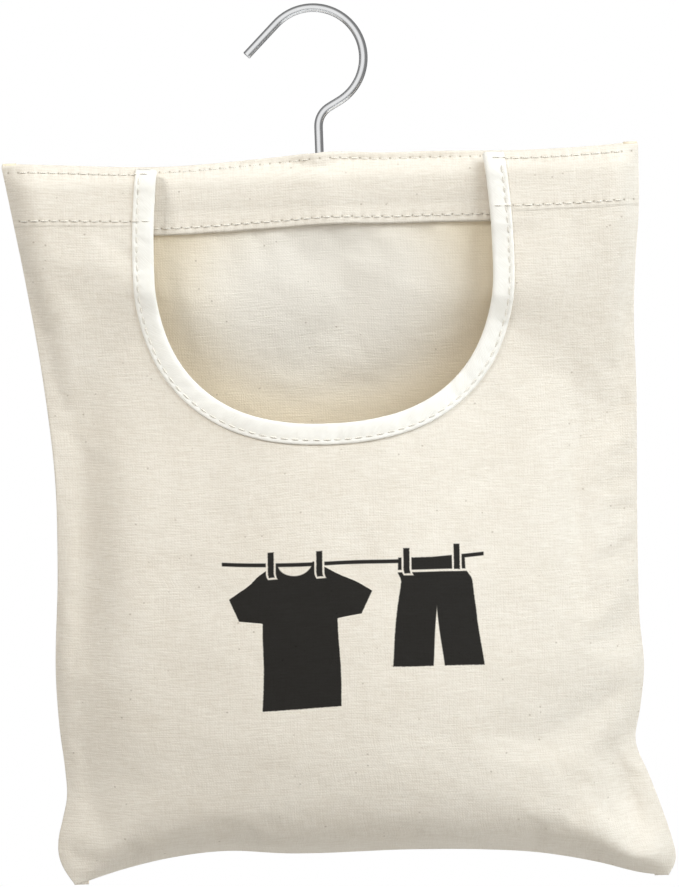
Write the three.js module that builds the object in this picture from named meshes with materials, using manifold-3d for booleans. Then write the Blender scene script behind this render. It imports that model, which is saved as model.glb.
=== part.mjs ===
// Canvas peg bag on a hanger with a swivelling wire hook.
// Millimetres, +Z up, the mouth faces -Y.
// The origin is the crown's seat, where the hook sits on a rail or line.
import * as THREE from "three";
import { mergeVertices } from "three/addons/utils/BufferGeometryUtils.js";
import Module from "manifold-3d";

const wasm = await Module();
wasm.setup();

// Fits
const GAP = 0.3; // between pieces that touch
const CASING_EASE = 0.9; // cloth off the bar's faces
const CASING_LEAD = 3.2; // cloth leaves the bar this far above and below it
const HEM_EASE = 0.8; // between a shoulder and the hem folded behind it
const THREAD_ROOM = 1.5; // between the casing and the shoulders' hems, for the casing's thread
const FOLD_ROOM = 0.5; // inside the fold of a top edge
const CUT_OVER = 1; // a cut runs this far past the face that it opens

// Hook
const WIRE_DIAMETER = 3.8;
const CROWN_RADIUS = 22.1; // to the middle of the wire
const CROWN_RISE = 62.5; // crown's seat above the bag's top edge
const SHANK_OFFSET = 1.3; // shank to the right of the crown's seat
const NECK_RADIUS = 9.7;
const NECK_TURN = 61; // degrees
const TIP_SLOPE = 45; // degrees below level
const TIP_LENGTH = 19;
const COLLAR_DIAMETER = 5.6;
const COLLAR_HEIGHT = 1.4;
const SHANK_TAIL = 0.6; // past the push nut
const WASHER_DIAMETER = 7.2;
const WASHER_THICKNESS = 0.8;
const PUSH_NUT_DIAMETER = 6.8;
const PUSH_NUT_HEIGHT = 1.2;

// Hanger bar
const BAR_HEIGHT = 13;
const BAR_THICKNESS = 10;
const BAR_EDGE_ROUNDING = 3.4;
const BAR_END_ROUNDING = 4;
const BAR_END_MARGIN = 11; // bar's end to the side seam
const BAR_BELOW_STITCH = 4; // bar's top below the casing's top row of thread
const BORE_CLEARANCE = 0.4; // around the shank
const POCKET_CLEARANCE = 0.4; // around the washer

// Bag outline: depths run down from the top edge, insets run in from the top corners
const BAG_WIDTH = 280; // along the top edge
const BAG_HEIGHT = 306.5; // top edge to the middle of the bottom
const LEFT_WAIST_INSET = 19;
const LEFT_WAIST_DEPTH = 150;
const LEFT_BELLY_INSET = 16;
const LEFT_BELLY_RISE = 88; // above the corner's tip
const LEFT_NIP_INSET = 18.8;
const LEFT_NIP_RISE = 44;
const LEFT_EAR_INSET = 14.8;
const LEFT_EAR_RISE = 17;
const LEFT_TIP_INSET = 21;
const LEFT_TIP_DROP = 10.5; // below the middle of the bottom
const LEFT_TIP_SPAN = 50; // along the bottom
const RIGHT_WAIST_INSET = 6.8;
const RIGHT_WAIST_DEPTH = 185;
const RIGHT_BELLY_INSET = 5.6;
const RIGHT_BELLY_RISE = 93;
const RIGHT_NIP_INSET = 10.8;
const RIGHT_NIP_RISE = 60;
const RIGHT_EAR_INSET = -5.7;
const RIGHT_EAR_RISE = 7;
const RIGHT_TIP_INSET = -1.5;
const RIGHT_TIP_DROP = 15.5;
const RIGHT_TIP_SPAN = 75;
const TIP_CURVE = 1.5; // how the bottom edge curves down to a corner's tip
const DROP_CURVE = 4; // how late, going down, the cloth follows that edge

// Cloth
const CLOTH = 1; // thickness
const HEM_BELOW_BAR = 7.5; // hem's edge below the bar
const HEM_STITCH_INSET = 2; // above the hem's edge
const HEM_FORWARD = 4.4; // the casing's hem hangs plumb, this far before the plane of the side seams
const HEM_RETURN = 100; // the back comes back to that plane over this
const TOP_STITCH_INSET = 3; // below a top edge
const SHOULDER_DROP = 1.5; // front's top edge below the back's
const FRONT_BULGE = 33.4;
const BACK_BULGE = 24.4;
const BELLY_RISE = 1.12; // how slowly the bulge builds up from the top
const BELLY_TURN = 0.38; // how quickly it turns under at the bottom
const FRONT_ROUNDNESS = 0.9; // across the bag
const BACK_ROUNDNESS = 1.2;
const CASING_ROUNDNESS = 2.5;
const CASING_END = 14; // the casing flattens towards the side seam over this
const SHOULDER_FALL = 100; // the front leaves the bar over this
const HEM_FALL = 100; // the front's hem thickness runs out over this
const SEAM_FALL = 16; // the same, at the side seams
const SLIT_SPREAD = 14; // cloth parts around the shank, each way
const SLIT_CLEARANCE = 0.6; // around the wire
const HEM_LAP = 0.5; // a shoulder's hem stops this far from the side seam
const HEM_JOIN = 0.8; // height of the fold that joins it to the shoulder
const HEM_EDGE = 0.2; // below the shoulder's top edge

// Soft folds of the front, between places given as shares across and down: width, and height off the front
const LEFT_HOLLOW_WIDTH = 10;
const LEFT_HOLLOW_DEPTH = 3.4;
const LEFT_HOLLOW = {
  from: [0.09, 0.2], to: [0.054, 0.97], width: LEFT_HOLLOW_WIDTH, height: -LEFT_HOLLOW_DEPTH,
};
const LEFT_SWELL_WIDTH = 16;
const LEFT_SWELL_HEIGHT = 1.8;
const LEFT_SWELL = {
  from: [0.148, 0.26], to: [0.124, 0.97], width: LEFT_SWELL_WIDTH, height: LEFT_SWELL_HEIGHT,
};
const EAR_SWELL_WIDTH = 12;
const EAR_SWELL_HEIGHT = 4.4;
const EAR_SWELL = {
  from: [0.845, 0.937], to: [1, 1], width: EAR_SWELL_WIDTH, height: EAR_SWELL_HEIGHT,
};
const EAR_HOLLOW_WIDTH = 8;
const EAR_HOLLOW_DEPTH = 4;
const EAR_HOLLOW = {
  from: [0.95, 0.836], to: [0.951, 0.987], width: EAR_HOLLOW_WIDTH, height: -EAR_HOLLOW_DEPTH,
};
const BOTTOM_HOLLOW_WIDTH = 5;
const BOTTOM_HOLLOW_DEPTH = 2.6;
const BOTTOM_HOLLOW = {
  from: [0.694, 0.988], to: [0.903, 0.986], width: BOTTOM_HOLLOW_WIDTH, height: -BOTTOM_HOLLOW_DEPTH,
};
const FOLD_FADE = 24; // folds run out at the side seams over one part in this many of the width
const BOTTOM_FADE = 55; // and at the bottom seam over one part in this many of the height

// Mouth and its binding
const MOUTH_HALF_WIDTH = 75;
const MOUTH_TOP_INSET = 3; // narrower at the top edge, each side
const MOUTH_WIDEST_DEPTH = 50;
const MOUTH_ROUND = 70; // rounded bottom below the widest place
const MOUTH_POWER = 2.35; // squareness of the rounded bottom
const BINDING_WIDTH = 8.3;
const BINDING_CLOTH = 0.6;
const BINDING_FIT = 0.45; // between the tape and the cloth in it
const BINDING_STITCH_INSET = 2;

// Thread
const THREAD = 0.7; // diameter
const SEAM_END = 60; // side seams start below the top edge, and stop above the corners
const BOTTOM_SEAM_END = 34; // bottom seam stops short of the corners
const SHOULDER_ROW_START = 1; // from the binding
const SHOULDER_ROW_END = 5; // from the side seam
const CASING_ROW_END = 12; // from the top corners
const TOP_ROW_START = 2; // from the slit
const TOP_ROW_LAP = 4; // runs in behind the binding

// Facets
const WIRE_SIDES = 12;
const WIRE_STEPS = 56;
const COLLAR_SIDES = 16;
const BORE_SIDES = 20;
const RING_SIDES = 24;
const ROUNDING_STEPS = 3;
const THREAD_SIDES = 6;
const FOLD_STEPS = 4;
const MOUTH_STEPS = 11; // each half of the rounded bottom
const HEM_COLUMNS = 9;
const HEM_ROWS = 7;
const HEM_CLUSTER = 1.6; // columns draw together towards the side seam
const HALF_COLUMNS = 14;
const COLUMN_CLUSTER = 0.7; // columns draw together at the hook and the side seams
const CASING_ROWS = 9;
const MOUTH_ROWS = 10;
const BODY_ROWS = 12;
const ROW_CLUSTER = 1.35; // rows draw together towards the bottom
const LONG_STEP = 5; // between a thread's points along the casing's hem
const TOP_STEP = 12; // along its top row
const SHOULDER_STEP = 3;
const LEAST_STEPS = 4;

// Derived places
const BAR_TOP_DEPTH = TOP_STITCH_INSET + BAR_BELOW_STITCH;
const HEM_DEPTH = BAR_TOP_DEPTH + BAR_HEIGHT + HEM_BELOW_BAR;
const HEM_STITCH_DEPTH = HEM_DEPTH - HEM_STITCH_INSET;
const BAR_MIDDLE = BAR_TOP_DEPTH + BAR_HEIGHT / 2;
const BAR_UNDER_DEPTH = BAR_TOP_DEPTH + BAR_HEIGHT;
const CASING_HALF = BAR_THICKNESS / 2 + CASING_EASE;
const CASING_SPREAD = BAR_HEIGHT / 2 + CASING_LEAD;
const SEAM = GAP / 2;
const FOLD = CLOTH + FOLD_ROOM;
const WIRE_RADIUS = WIRE_DIAMETER / 2;
const POCKET_DIAMETER = WASHER_DIAMETER + 2 * POCKET_CLEARANCE;
const POCKET_DEPTH = WASHER_THICKNESS + PUSH_NUT_HEIGHT + SHANK_TAIL + 3 * GAP;

const clamp = (v) => Math.min(1, Math.max(0, v));
const lerp = (a, b, t) => a + (b - a) * t;
const radians = (degrees) => (degrees * Math.PI) / 180;
const smooth = (t) => clamp(t) * clamp(t) * (3 - 2 * clamp(t));
const swing = (a, b, t) => lerp(a, b, (1 - Math.cos(Math.PI * clamp(t))) / 2);

// Solids

function closed(geometry) {
  let g = geometry.clone();
  for (const name of Object.keys(g.attributes)) {
    if (name !== "position") g.deleteAttribute(name);
  }
  g = mergeVertices(g, 1e-5);
  const p = g.getAttribute("position");
  const index = Array.from(g.getIndex().array);
  const kept = [];
  let volume = 0;
  const [a, b, c] = [new THREE.Vector3(), new THREE.Vector3(), new THREE.Vector3()];
  for (let i = 0; i < index.length; i += 3) {
    const [i0, i1, i2] = index.slice(i, i + 3);
    if (i0 === i1 || i1 === i2 || i2 === i0) continue;
    kept.push(i0, i1, i2);
    a.fromBufferAttribute(p, i0);
    b.fromBufferAttribute(p, i1);
    c.fromBufferAttribute(p, i2);
    volume += a.dot(b.cross(c));
  }
  if (volume < 0) {
    for (let i = 0; i < kept.length; i += 3) {
      [kept[i + 1], kept[i + 2]] = [kept[i + 2], kept[i + 1]];
    }
  }
  g.setIndex(kept);
  return g;
}

function solid(geometry) {
  const g = closed(geometry);
  const mesh = new wasm.Mesh({
    numProp: 3,
    vertProperties: Float32Array.from(g.getAttribute("position").array),
    triVerts: Uint32Array.from(g.getIndex().array),
  });
  return new wasm.Manifold(mesh);
}

function shaped(body) {
  const mesh = body.getMesh();
  const g = new THREE.BufferGeometry();
  g.setAttribute("position", new THREE.BufferAttribute(Float32Array.from(mesh.vertProperties), 3));
  g.setIndex(Array.from(mesh.triVerts));
  return g;
}

// A sheet with thickness: rows of [inner, outer] points, each row the same length.
function sheet(rows) {
  const positions = [];
  const index = [];
  const across = rows[0].length;
  const down = rows.length;
  for (const side of [0, 1]) {
    for (const row of rows) {
      for (const pair of row) positions.push(...pair[side]);
    }
  }
  const at = (side, j, i) => side * across * down + j * across + i;
  const quad = (a, b, c, d) => index.push(a, b, c, a, c, d);
  for (let j = 0; j < down - 1; j += 1) {
    for (let i = 0; i < across - 1; i += 1) {
      quad(at(0, j, i), at(0, j + 1, i), at(0, j + 1, i + 1), at(0, j, i + 1));
      quad(at(1, j, i), at(1, j, i + 1), at(1, j + 1, i + 1), at(1, j + 1, i));
    }
    quad(at(0, j, 0), at(1, j, 0), at(1, j + 1, 0), at(0, j + 1, 0));
    quad(at(0, j, across - 1), at(0, j + 1, across - 1), at(1, j + 1, across - 1), at(1, j, across - 1));
  }
  for (let i = 0; i < across - 1; i += 1) {
    quad(at(0, 0, i), at(0, 0, i + 1), at(1, 0, i + 1), at(1, 0, i));
    quad(at(0, down - 1, i), at(1, down - 1, i), at(1, down - 1, i + 1), at(0, down - 1, i + 1));
  }
  const g = new THREE.BufferGeometry();
  g.setAttribute("position", new THREE.Float32BufferAttribute(positions, 3));
  g.setIndex(index);
  return g;
}

// A ring of section points swept through stations, closed at both ends.
function sweep(stations) {
  const positions = stations.flat(2);
  const round = stations[0].length;
  const index = [];
  for (let s = 0; s < stations.length - 1; s += 1) {
    for (let k = 0; k < round; k += 1) {
      const next = (k + 1) % round;
      const [a, b] = [s * round + k, s * round + next];
      index.push(a, b, b + round, a, b + round, a + round);
    }
  }
  const half = round / 2;
  const last = (stations.length - 1) * round;
  for (let k = 0; k < half - 1; k += 1) {
    const [a, b, c, d] = [k, k + 1, round - 2 - k, round - 1 - k];
    index.push(a, d, c, a, c, b);
    index.push(last + a, last + c, last + d, last + a, last + b, last + c);
  }
  const g = new THREE.BufferGeometry();
  g.setAttribute("position", new THREE.Float32BufferAttribute(positions, 3));
  g.setIndex(index);
  return g;
}

function polygon(radius, sides) {
  const shape = new THREE.Shape();
  for (let i = 0; i < sides; i += 1) {
    const a = (2 * Math.PI * i) / sides;
    const [x, y] = [radius * Math.cos(a), radius * Math.sin(a)];
    if (i === 0) shape.moveTo(x, y);
    else shape.lineTo(x, y);
  }
  shape.closePath();
  return shape;
}

function tube(path, radius, sides, steps) {
  const along = { steps, extrudePath: path, curveSegments: sides };
  return new THREE.ExtrudeGeometry(polygon(radius, sides), along);
}

// A thread that bends at the given points, which never run straight along Y.
function thread(points) {
  const line = points.map((p) => new THREE.Vector3(...p));
  const last = line.length - 1;
  return sweep(line.map((point, i) => {
    const along = line[Math.min(last, i + 1)].clone().sub(line[Math.max(0, i - 1)]).normalize();
    const across = along.clone().cross(new THREE.Vector3(0, 1, 0)).normalize();
    const up = across.clone().cross(along);
    return Array.from({ length: THREAD_SIDES }, (_, k) => {
      const a = (2 * Math.PI * k) / THREAD_SIDES;
      const rim = point.clone().addScaledVector(across, (THREAD / 2) * Math.cos(a));
      return rim.addScaledVector(up, (THREAD / 2) * Math.sin(a)).toArray();
    });
  }));
}

// A ring or disc around the shank, from one height to another.
function turned(inner, outer, low, high, sides) {
  const profile = inner > 0
    ? [[inner, low], [outer, low], [outer, high], [inner, high], [inner, low]]
    : [[0, low], [outer, low], [outer, high], [0, high]];
  const g = new THREE.LatheGeometry(profile.map(([r, h]) => new THREE.Vector2(r, h)), sides);
  g.rotateX(Math.PI / 2);
  return g;
}

// Bag outline

function insets(keys) {
  return (depth) => {
    const first = keys[1];
    if (depth <= first[0]) return first[1] * Math.sin((Math.PI / 2) * Math.max(0, depth / first[0]));
    for (let i = 2; i < keys.length - 1; i += 1) {
      const [from, to] = [keys[i - 1], keys[i]];
      if (depth <= to[0]) return swing(from[1], to[1], (depth - from[0]) / (to[0] - from[0]));
    }
    const [from, to] = keys.slice(-2);
    return lerp(from[1], to[1], 1 - Math.cos((Math.PI / 2) * clamp((depth - from[0]) / (to[0] - from[0]))));
  };
}

const LEFT_TIP = BAG_HEIGHT + LEFT_TIP_DROP;
const RIGHT_TIP = BAG_HEIGHT + RIGHT_TIP_DROP;
const leftInset = insets([
  [0, 0],
  [LEFT_WAIST_DEPTH, LEFT_WAIST_INSET],
  [LEFT_TIP - LEFT_BELLY_RISE, LEFT_BELLY_INSET],
  [LEFT_TIP - LEFT_NIP_RISE, LEFT_NIP_INSET],
  [LEFT_TIP - LEFT_EAR_RISE, LEFT_EAR_INSET],
  [LEFT_TIP, LEFT_TIP_INSET],
]);
const rightInset = insets([
  [0, 0],
  [RIGHT_WAIST_DEPTH, RIGHT_WAIST_INSET],
  [RIGHT_TIP - RIGHT_BELLY_RISE, RIGHT_BELLY_INSET],
  [RIGHT_TIP - RIGHT_NIP_RISE, RIGHT_NIP_INSET],
  [RIGHT_TIP - RIGHT_EAR_RISE, RIGHT_EAR_INSET],
  [RIGHT_TIP, RIGHT_TIP_INSET],
]);

function drop(u) {
  const left = clamp(1 - (u * BAG_WIDTH) / LEFT_TIP_SPAN);
  const right = clamp(1 - ((1 - u) * BAG_WIDTH) / RIGHT_TIP_SPAN);
  return LEFT_TIP_DROP * left ** TIP_CURVE + RIGHT_TIP_DROP * right ** TIP_CURVE;
}

// Depth and side seams at share u across and share r down.
const depthAt = (u, r) => r * BAG_HEIGHT + drop(u) * r ** DROP_CURVE;
const leftSide = (r) => -BAG_WIDTH / 2 + leftInset(depthAt(0, r));
const rightSide = (r) => BAG_WIDTH / 2 - rightInset(depthAt(1, r));
const acrossAt = (u, r) => lerp(leftSide(r), rightSide(r), u);

function shares(x, depth) {
  let [u, r] = [0.5, depth / BAG_HEIGHT];
  for (let i = 0; i < 6; i += 1) {
    u = clamp((x - leftSide(r)) / (rightSide(r) - leftSide(r)));
    r = (depth - drop(u) * r ** DROP_CURVE) / BAG_HEIGHT;
  }
  return [u, r];
}

// Cloth surfaces, as distances from the plane of the side seams

function pillow(u, r, start, roundness) {
  const v = clamp((r * BAG_HEIGHT - start) / (BAG_HEIGHT - start));
  const peak = BELLY_RISE / (BELLY_RISE + BELLY_TURN);
  const down = (v / peak) ** BELLY_RISE * ((1 - v) / (1 - peak)) ** BELLY_TURN;
  return down * (4 * u * (1 - u)) ** roundness;
}

function fold(u, r, { from, to, width, height }) {
  const [x0, d0] = [acrossAt(...from), depthAt(...from)];
  const [dx, dd] = [acrossAt(...to) - x0, depthAt(...to) - d0];
  const [px, pd] = [acrossAt(u, r) - x0, depthAt(u, r) - d0];
  const along = clamp((px * dx + pd * dd) / (dx * dx + dd * dd));
  const away = Math.hypot(px - along * dx, pd - along * dd);
  return height * Math.sin(Math.PI * along) * Math.exp(-((away / width) ** 2));
}

function frontFolds(u, r) {
  const fade = smooth(Math.min(u, 1 - u) * FOLD_FADE) * smooth((1 - r) * BOTTOM_FADE);
  const all = [LEFT_HOLLOW, LEFT_SWELL, EAR_SWELL, EAR_HOLLOW, BOTTOM_HOLLOW];
  return fade * all.reduce((sum, each) => sum + fold(u, r, each), 0);
}

function towardsSeam(x, r) {
  const room = Math.min(x - leftSide(r), rightSide(r) - x);
  return 1 - (1 - clamp(room / CASING_END)) ** CASING_ROUNDNESS;
}

// How full the casing is around the bar, from 0 to 1.
function fullness(depth) {
  const t = Math.abs((depth - BAR_MIDDLE) / CASING_SPREAD);
  return Math.max(0, 1 - t ** CASING_ROUNDNESS);
}

// Room that the shank and its collar need, each way.
function parted(x, depth) {
  const half = COLLAR_DIAMETER / 2 + 2 * GAP;
  const fade = 1 - smooth((depth - BAR_MIDDLE) / (HEM_STITCH_DEPTH - BAR_MIDDLE));
  return half * Math.max(0, 1 - (x / SLIT_SPREAD) ** 2) ** 2 * fade;
}

// Room behind the casing's front layer.
function casing(x, depth) {
  const least = depth < BAR_MIDDLE ? 0 : HEM_FORWARD;
  const bar = lerp(least, CASING_HALF, fullness(depth)) * towardsSeam(x, depth / BAG_HEIGHT);
  return Math.max(bar, parted(x, depth));
}

// Room before the back's inner face. The back comes forward to the hem under the bar.
function backRoom(x, depth) {
  const under = smooth((depth - BAR_UNDER_DEPTH) / (HEM_STITCH_DEPTH - BAR_UNDER_DEPTH));
  const forward = HEM_FORWARD * under * (1 - smooth((depth - HEM_DEPTH) / HEM_RETURN));
  const bar = (CASING_HALF * fullness(depth) - forward) * towardsSeam(x, depth / BAG_HEIGHT);
  return depth < BAR_UNDER_DEPTH ? Math.max(bar, parted(x, depth)) : bar;
}

const backInner = (u, r) => {
  const swell = BACK_BULGE * pillow(u, r, HEM_DEPTH, BACK_ROUNDNESS);
  return SEAM + backRoom(acrossAt(u, r), depthAt(u, r)) + swell;
};

// Inner face of the front's outer layer.
function frontInner(u, r) {
  const [x, depth] = [acrossAt(u, r), depthAt(u, r)];
  const edge = towardsSeam(x, r);
  const held = depth < BAR_MIDDLE
    ? Math.max(casing(x, depth), casing(x, BAR_TOP_DEPTH) * edge * smooth(depth / BAR_TOP_DEPTH))
    : CASING_HALF * edge * (1 - smooth((depth - BAR_MIDDLE) / SHOULDER_FALL));
  const stack = 2 * CLOTH + GAP + HEM_EASE + THREAD_ROOM * edge;
  const hem = stack * (1 - smooth((depth - HEM_DEPTH - CLOTH) / lerp(SEAM_FALL, HEM_FALL, edge)));
  const swell = FRONT_BULGE * pillow(u, r, BAR_MIDDLE, FRONT_ROUNDNESS);
  return SEAM + held + hem + swell + frontFolds(u, r);
}

// Grid lines: closer together at the hook and at the side seams, and at the top and bottom.
const COLUMNS = [];
for (let i = -HALF_COLUMNS; i <= HALF_COLUMNS; i += 1) {
  const p = Math.abs(i) / HALF_COLUMNS;
  const s = p - (COLUMN_CLUSTER * Math.sin(2 * Math.PI * p)) / (2 * Math.PI);
  COLUMNS.push(0.5 + (Math.sign(i) * s) / 2);
}

function depthsBetween(from, to, count) {
  return Array.from({ length: count + 1 }, (_, i) => lerp(from, to, i / count));
}

// Rows of the casing, from the fold down to the hem's edge.
function casingDepths() {
  const [open, shut] = [BAR_MIDDLE - CASING_SPREAD, BAR_MIDDLE + CASING_SPREAD];
  return [
    ...depthsBetween(FOLD, open, 1),
    ...depthsBetween(open, shut, CASING_ROWS).slice(1),
    ...depthsBetween(shut, HEM_DEPTH, 1).slice(1),
  ];
}

// Rows below the hem: even down to the mouth's lowest place, then closer and closer to the bottom.
function bodyShares() {
  const mouth = MOUTH_WIDEST_DEPTH + MOUTH_ROUND + BINDING_WIDTH;
  const upper = depthsBetween(HEM_DEPTH, mouth, MOUTH_ROWS).slice(1).map((d) => d / BAG_HEIGHT);
  const start = mouth / BAG_HEIGHT;
  const lower = Array.from({ length: BODY_ROWS }, (_, i) => {
    return 1 - (1 - start) * (1 - (i + 1) / BODY_ROWS) ** ROW_CLUSTER;
  });
  return [...upper, ...lower];
}

const shoulderDepths = [SHOULDER_DROP, ...casingDepths().slice(1)];
const FRONT_ROWS = [...shoulderDepths.map((d) => d / BAG_HEIGHT), ...bodyShares()];

// The front's inner face as its flat facets have it, so that what lies on them follows them.
function frontInnerAt(x, depth) {
  const [u, r] = shares(x, depth);
  const i = Math.max(0, Math.min(COLUMNS.length - 2, COLUMNS.findLastIndex((c) => c <= u)));
  const j = Math.max(0, Math.min(FRONT_ROWS.length - 2, FRONT_ROWS.findLastIndex((row) => row <= r)));
  const a = clamp((u - COLUMNS[i]) / (COLUMNS[i + 1] - COLUMNS[i]));
  const b = (r - FRONT_ROWS[j]) / (FRONT_ROWS[j + 1] - FRONT_ROWS[j]);
  const at = (di, dj) => frontInner(COLUMNS[i + di], FRONT_ROWS[j + dj]);
  if (a > b) return at(0, 0) + a * (at(1, 0) - at(0, 0)) + b * (at(1, 1) - at(1, 0));
  return at(0, 0) + b * (at(0, 1) - at(0, 0)) + a * (at(1, 1) - at(0, 1));
}

// Pieces of the bag, with the top edge's middle at the shank as their own origin

function backPanel() {
  const rows = [];
  for (const depth of casingDepths().reverse().slice(0, -1)) {
    const r = depth / BAG_HEIGHT;
    rows.push(COLUMNS.map((u) => {
      const x = acrossAt(u, r);
      const y = SEAM + casing(x, depth);
      return [[x, -y, -depth], [x, -y - CLOTH, -depth]];
    }));
  }
  for (let i = 0; i <= FOLD_STEPS; i += 1) {
    const a = (Math.PI * i) / FOLD_STEPS;
    const r = FOLD / BAG_HEIGHT;
    rows.push(COLUMNS.map((u) => {
      const x = acrossAt(u, r);
      const y = SEAM + casing(x, FOLD);
      const inner = [x, -y * Math.cos(a), -FOLD + (FOLD - CLOTH) * Math.sin(a)];
      return [inner, [x, -(y + CLOTH) * Math.cos(a), -FOLD + FOLD * Math.sin(a)]];
    }));
  }
  const lower = casingDepths().slice(1).map((d) => d / BAG_HEIGHT);
  for (const r of [...lower, ...bodyShares()]) {
    rows.push(COLUMNS.map((u) => {
      const [x, z, y] = [acrossAt(u, r), -depthAt(u, r), backInner(u, r)];
      return [[x, y, z], [x, y + CLOTH, z]];
    }));
  }
  const slit = turned(0, WIRE_RADIUS + SLIT_CLEARANCE, -BAR_TOP_DEPTH, CUT_OVER, COLLAR_SIDES);
  return shaped(solid(sheet(rows)).subtract(solid(slit)));
}

// Stations along the mouth's cut edge, from the left shoulder's top round to the right one's.
function mouthStations() {
  const half = [];
  const below = depthsBetween(HEM_DEPTH, MOUTH_WIDEST_DEPTH, 2).slice(1, -1);
  for (const depth of [...shoulderDepths, ...below]) {
    const up = (MOUTH_WIDEST_DEPTH - depth) / MOUTH_WIDEST_DEPTH;
    half.push([-(MOUTH_HALF_WIDTH - MOUTH_TOP_INSET * up * up), depth]);
  }
  for (let i = 0; i <= MOUTH_STEPS; i += 1) {
    const a = (Math.PI / 2) * (i / MOUTH_STEPS);
    const x = -MOUTH_HALF_WIDTH * Math.max(0, Math.cos(a)) ** (2 / MOUTH_POWER);
    half.push([x, MOUTH_WIDEST_DEPTH + MOUTH_ROUND * Math.sin(a) ** (2 / MOUTH_POWER)]);
  }
  half[half.length - 1][0] = 0;
  const edge = [...half, ...half.slice(0, -1).reverse().map(([x, d]) => [-x, d])];
  return edge.map(([x, depth], i) => {
    const [before, after] = [edge[Math.max(0, i - 1)], edge[Math.min(edge.length - 1, i + 1)]];
    const along = new THREE.Vector2(after[0] - before[0], after[1] - before[1]).normalize();
    const end = i === 0 || i === edge.length - 1;
    return { x, depth, out: end ? [Math.sign(x), 0] : [-along.y, along.x] };
  });
}

const MOUTH = mouthStations();

function mouthCutter() {
  const shape = new THREE.Shape();
  shape.moveTo(MOUTH[0].x, CUT_OVER);
  for (const { x, depth } of MOUTH) shape.lineTo(x, -depth);
  shape.lineTo(MOUTH[MOUTH.length - 1].x, CUT_OVER);
  shape.closePath();
  const reach = 2 * (FRONT_BULGE + CASING_HALF + BAR_THICKNESS);
  const g = new THREE.ExtrudeGeometry(shape, { depth: reach, bevelEnabled: false });
  g.rotateX(Math.PI / 2);
  g.translate(0, reach / 2, 0);
  return g;
}

// Hem of one shoulder, folded in behind the front and joined to it along the fold.
function shoulderHem(side) {
  const top = SHOULDER_DROP + HEM_EDGE;
  const depths = [top, top + HEM_JOIN, ...depthsBetween(top + 2 * HEM_JOIN, HEM_DEPTH, HEM_ROWS)];
  return sheet(depths.map((depth, j) => {
    const r = depth / BAG_HEIGHT;
    const from = side * (MOUTH_HALF_WIDTH + BINDING_WIDTH + CLOTH + HEM_LAP);
    const to = side < 0 ? leftSide(r) + HEM_LAP : rightSide(r) - HEM_LAP;
    return Array.from({ length: HEM_COLUMNS + 1 }, (_, i) => {
      const x = lerp(from, to, 1 - (1 - i / HEM_COLUMNS) ** HEM_CLUSTER);
      const y = frontInnerAt(x, depth);
      return [[x, -y + CLOTH + HEM_EASE, -depth], [x, j < 2 ? -y - CLOTH / 2 : -y + HEM_EASE, -depth]];
    });
  }));
}

function frontPanel() {
  const rows = FRONT_ROWS.map((r) => COLUMNS.map((u) => {
    const [x, z, y] = [acrossAt(u, r), -depthAt(u, r), frontInner(u, r)];
    return [[x, -y, z], [x, -y - CLOTH, z]];
  }));
  let body = solid(sheet(rows)).subtract(solid(mouthCutter()));
  for (const side of [-1, 1]) body = body.add(solid(shoulderHem(side)));
  return shaped(body);
}

function openingBinding() {
  const inFold = -BINDING_FIT;
  const outFold = -BINDING_FIT - BINDING_CLOTH;
  return sweep(MOUTH.map(({ x, depth, out }) => {
    const at = (offset, y) => [x + offset * out[0], y, -(depth + offset * out[1])];
    const cloth = (offset) => -frontInnerAt(x + offset * out[0], depth + offset * out[1]);
    const legs = [BINDING_WIDTH, BINDING_WIDTH - BINDING_STITCH_INSET, 0];
    const frontFace = (offset, layer) => at(offset, cloth(offset) - CLOTH - BINDING_FIT - layer);
    const backFace = (offset, layer) => at(offset, cloth(offset) + BINDING_FIT + layer);
    const middle = cloth(0) - CLOTH / 2;
    return [
      ...legs.map((o) => frontFace(o, BINDING_CLOTH)),
      at(outFold, middle),
      ...legs.toReversed().map((o) => backFace(o, BINDING_CLOTH)),
      ...legs.map((o) => backFace(o, 0)),
      at(inFold, middle),
      ...legs.toReversed().map((o) => frontFace(o, 0)),
    ];
  }));
}

// Thread rows

const clear = GAP + THREAD / 2;

function rowAlong(from, to, depth, y, spacing) {
  const count = Math.max(LEAST_STEPS, Math.round(Math.abs(to - from) / spacing));
  return thread(Array.from({ length: count + 1 }, (_, i) => {
    const x = lerp(from, to, i / count);
    return [x, y(x, depth), -depth];
  }));
}

const onShoulder = (x, depth) => -frontInnerAt(x, depth) - CLOTH - clear;
const onCasing = (x, depth) => -(SEAM + casing(x, depth) + CLOTH + clear);

function shoulderRow(side, depth) {
  const from = side * (MOUTH_HALF_WIDTH + BINDING_WIDTH + SHOULDER_ROW_START);
  const r = depth / BAG_HEIGHT;
  const to = side < 0 ? leftSide(r) + SHOULDER_ROW_END : rightSide(r) - SHOULDER_ROW_END;
  return rowAlong(from, to, depth, onShoulder, SHOULDER_STEP);
}

function bindingStitch() {
  const offset = BINDING_WIDTH - BINDING_STITCH_INSET;
  return thread(MOUTH.map(({ x, depth, out }) => {
    const [px, pd] = [x + offset * out[0], depth + offset * out[1]];
    return [px, -frontInnerAt(px, pd) - CLOTH - BINDING_FIT - BINDING_CLOTH - clear, -pd];
  }));
}

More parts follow.
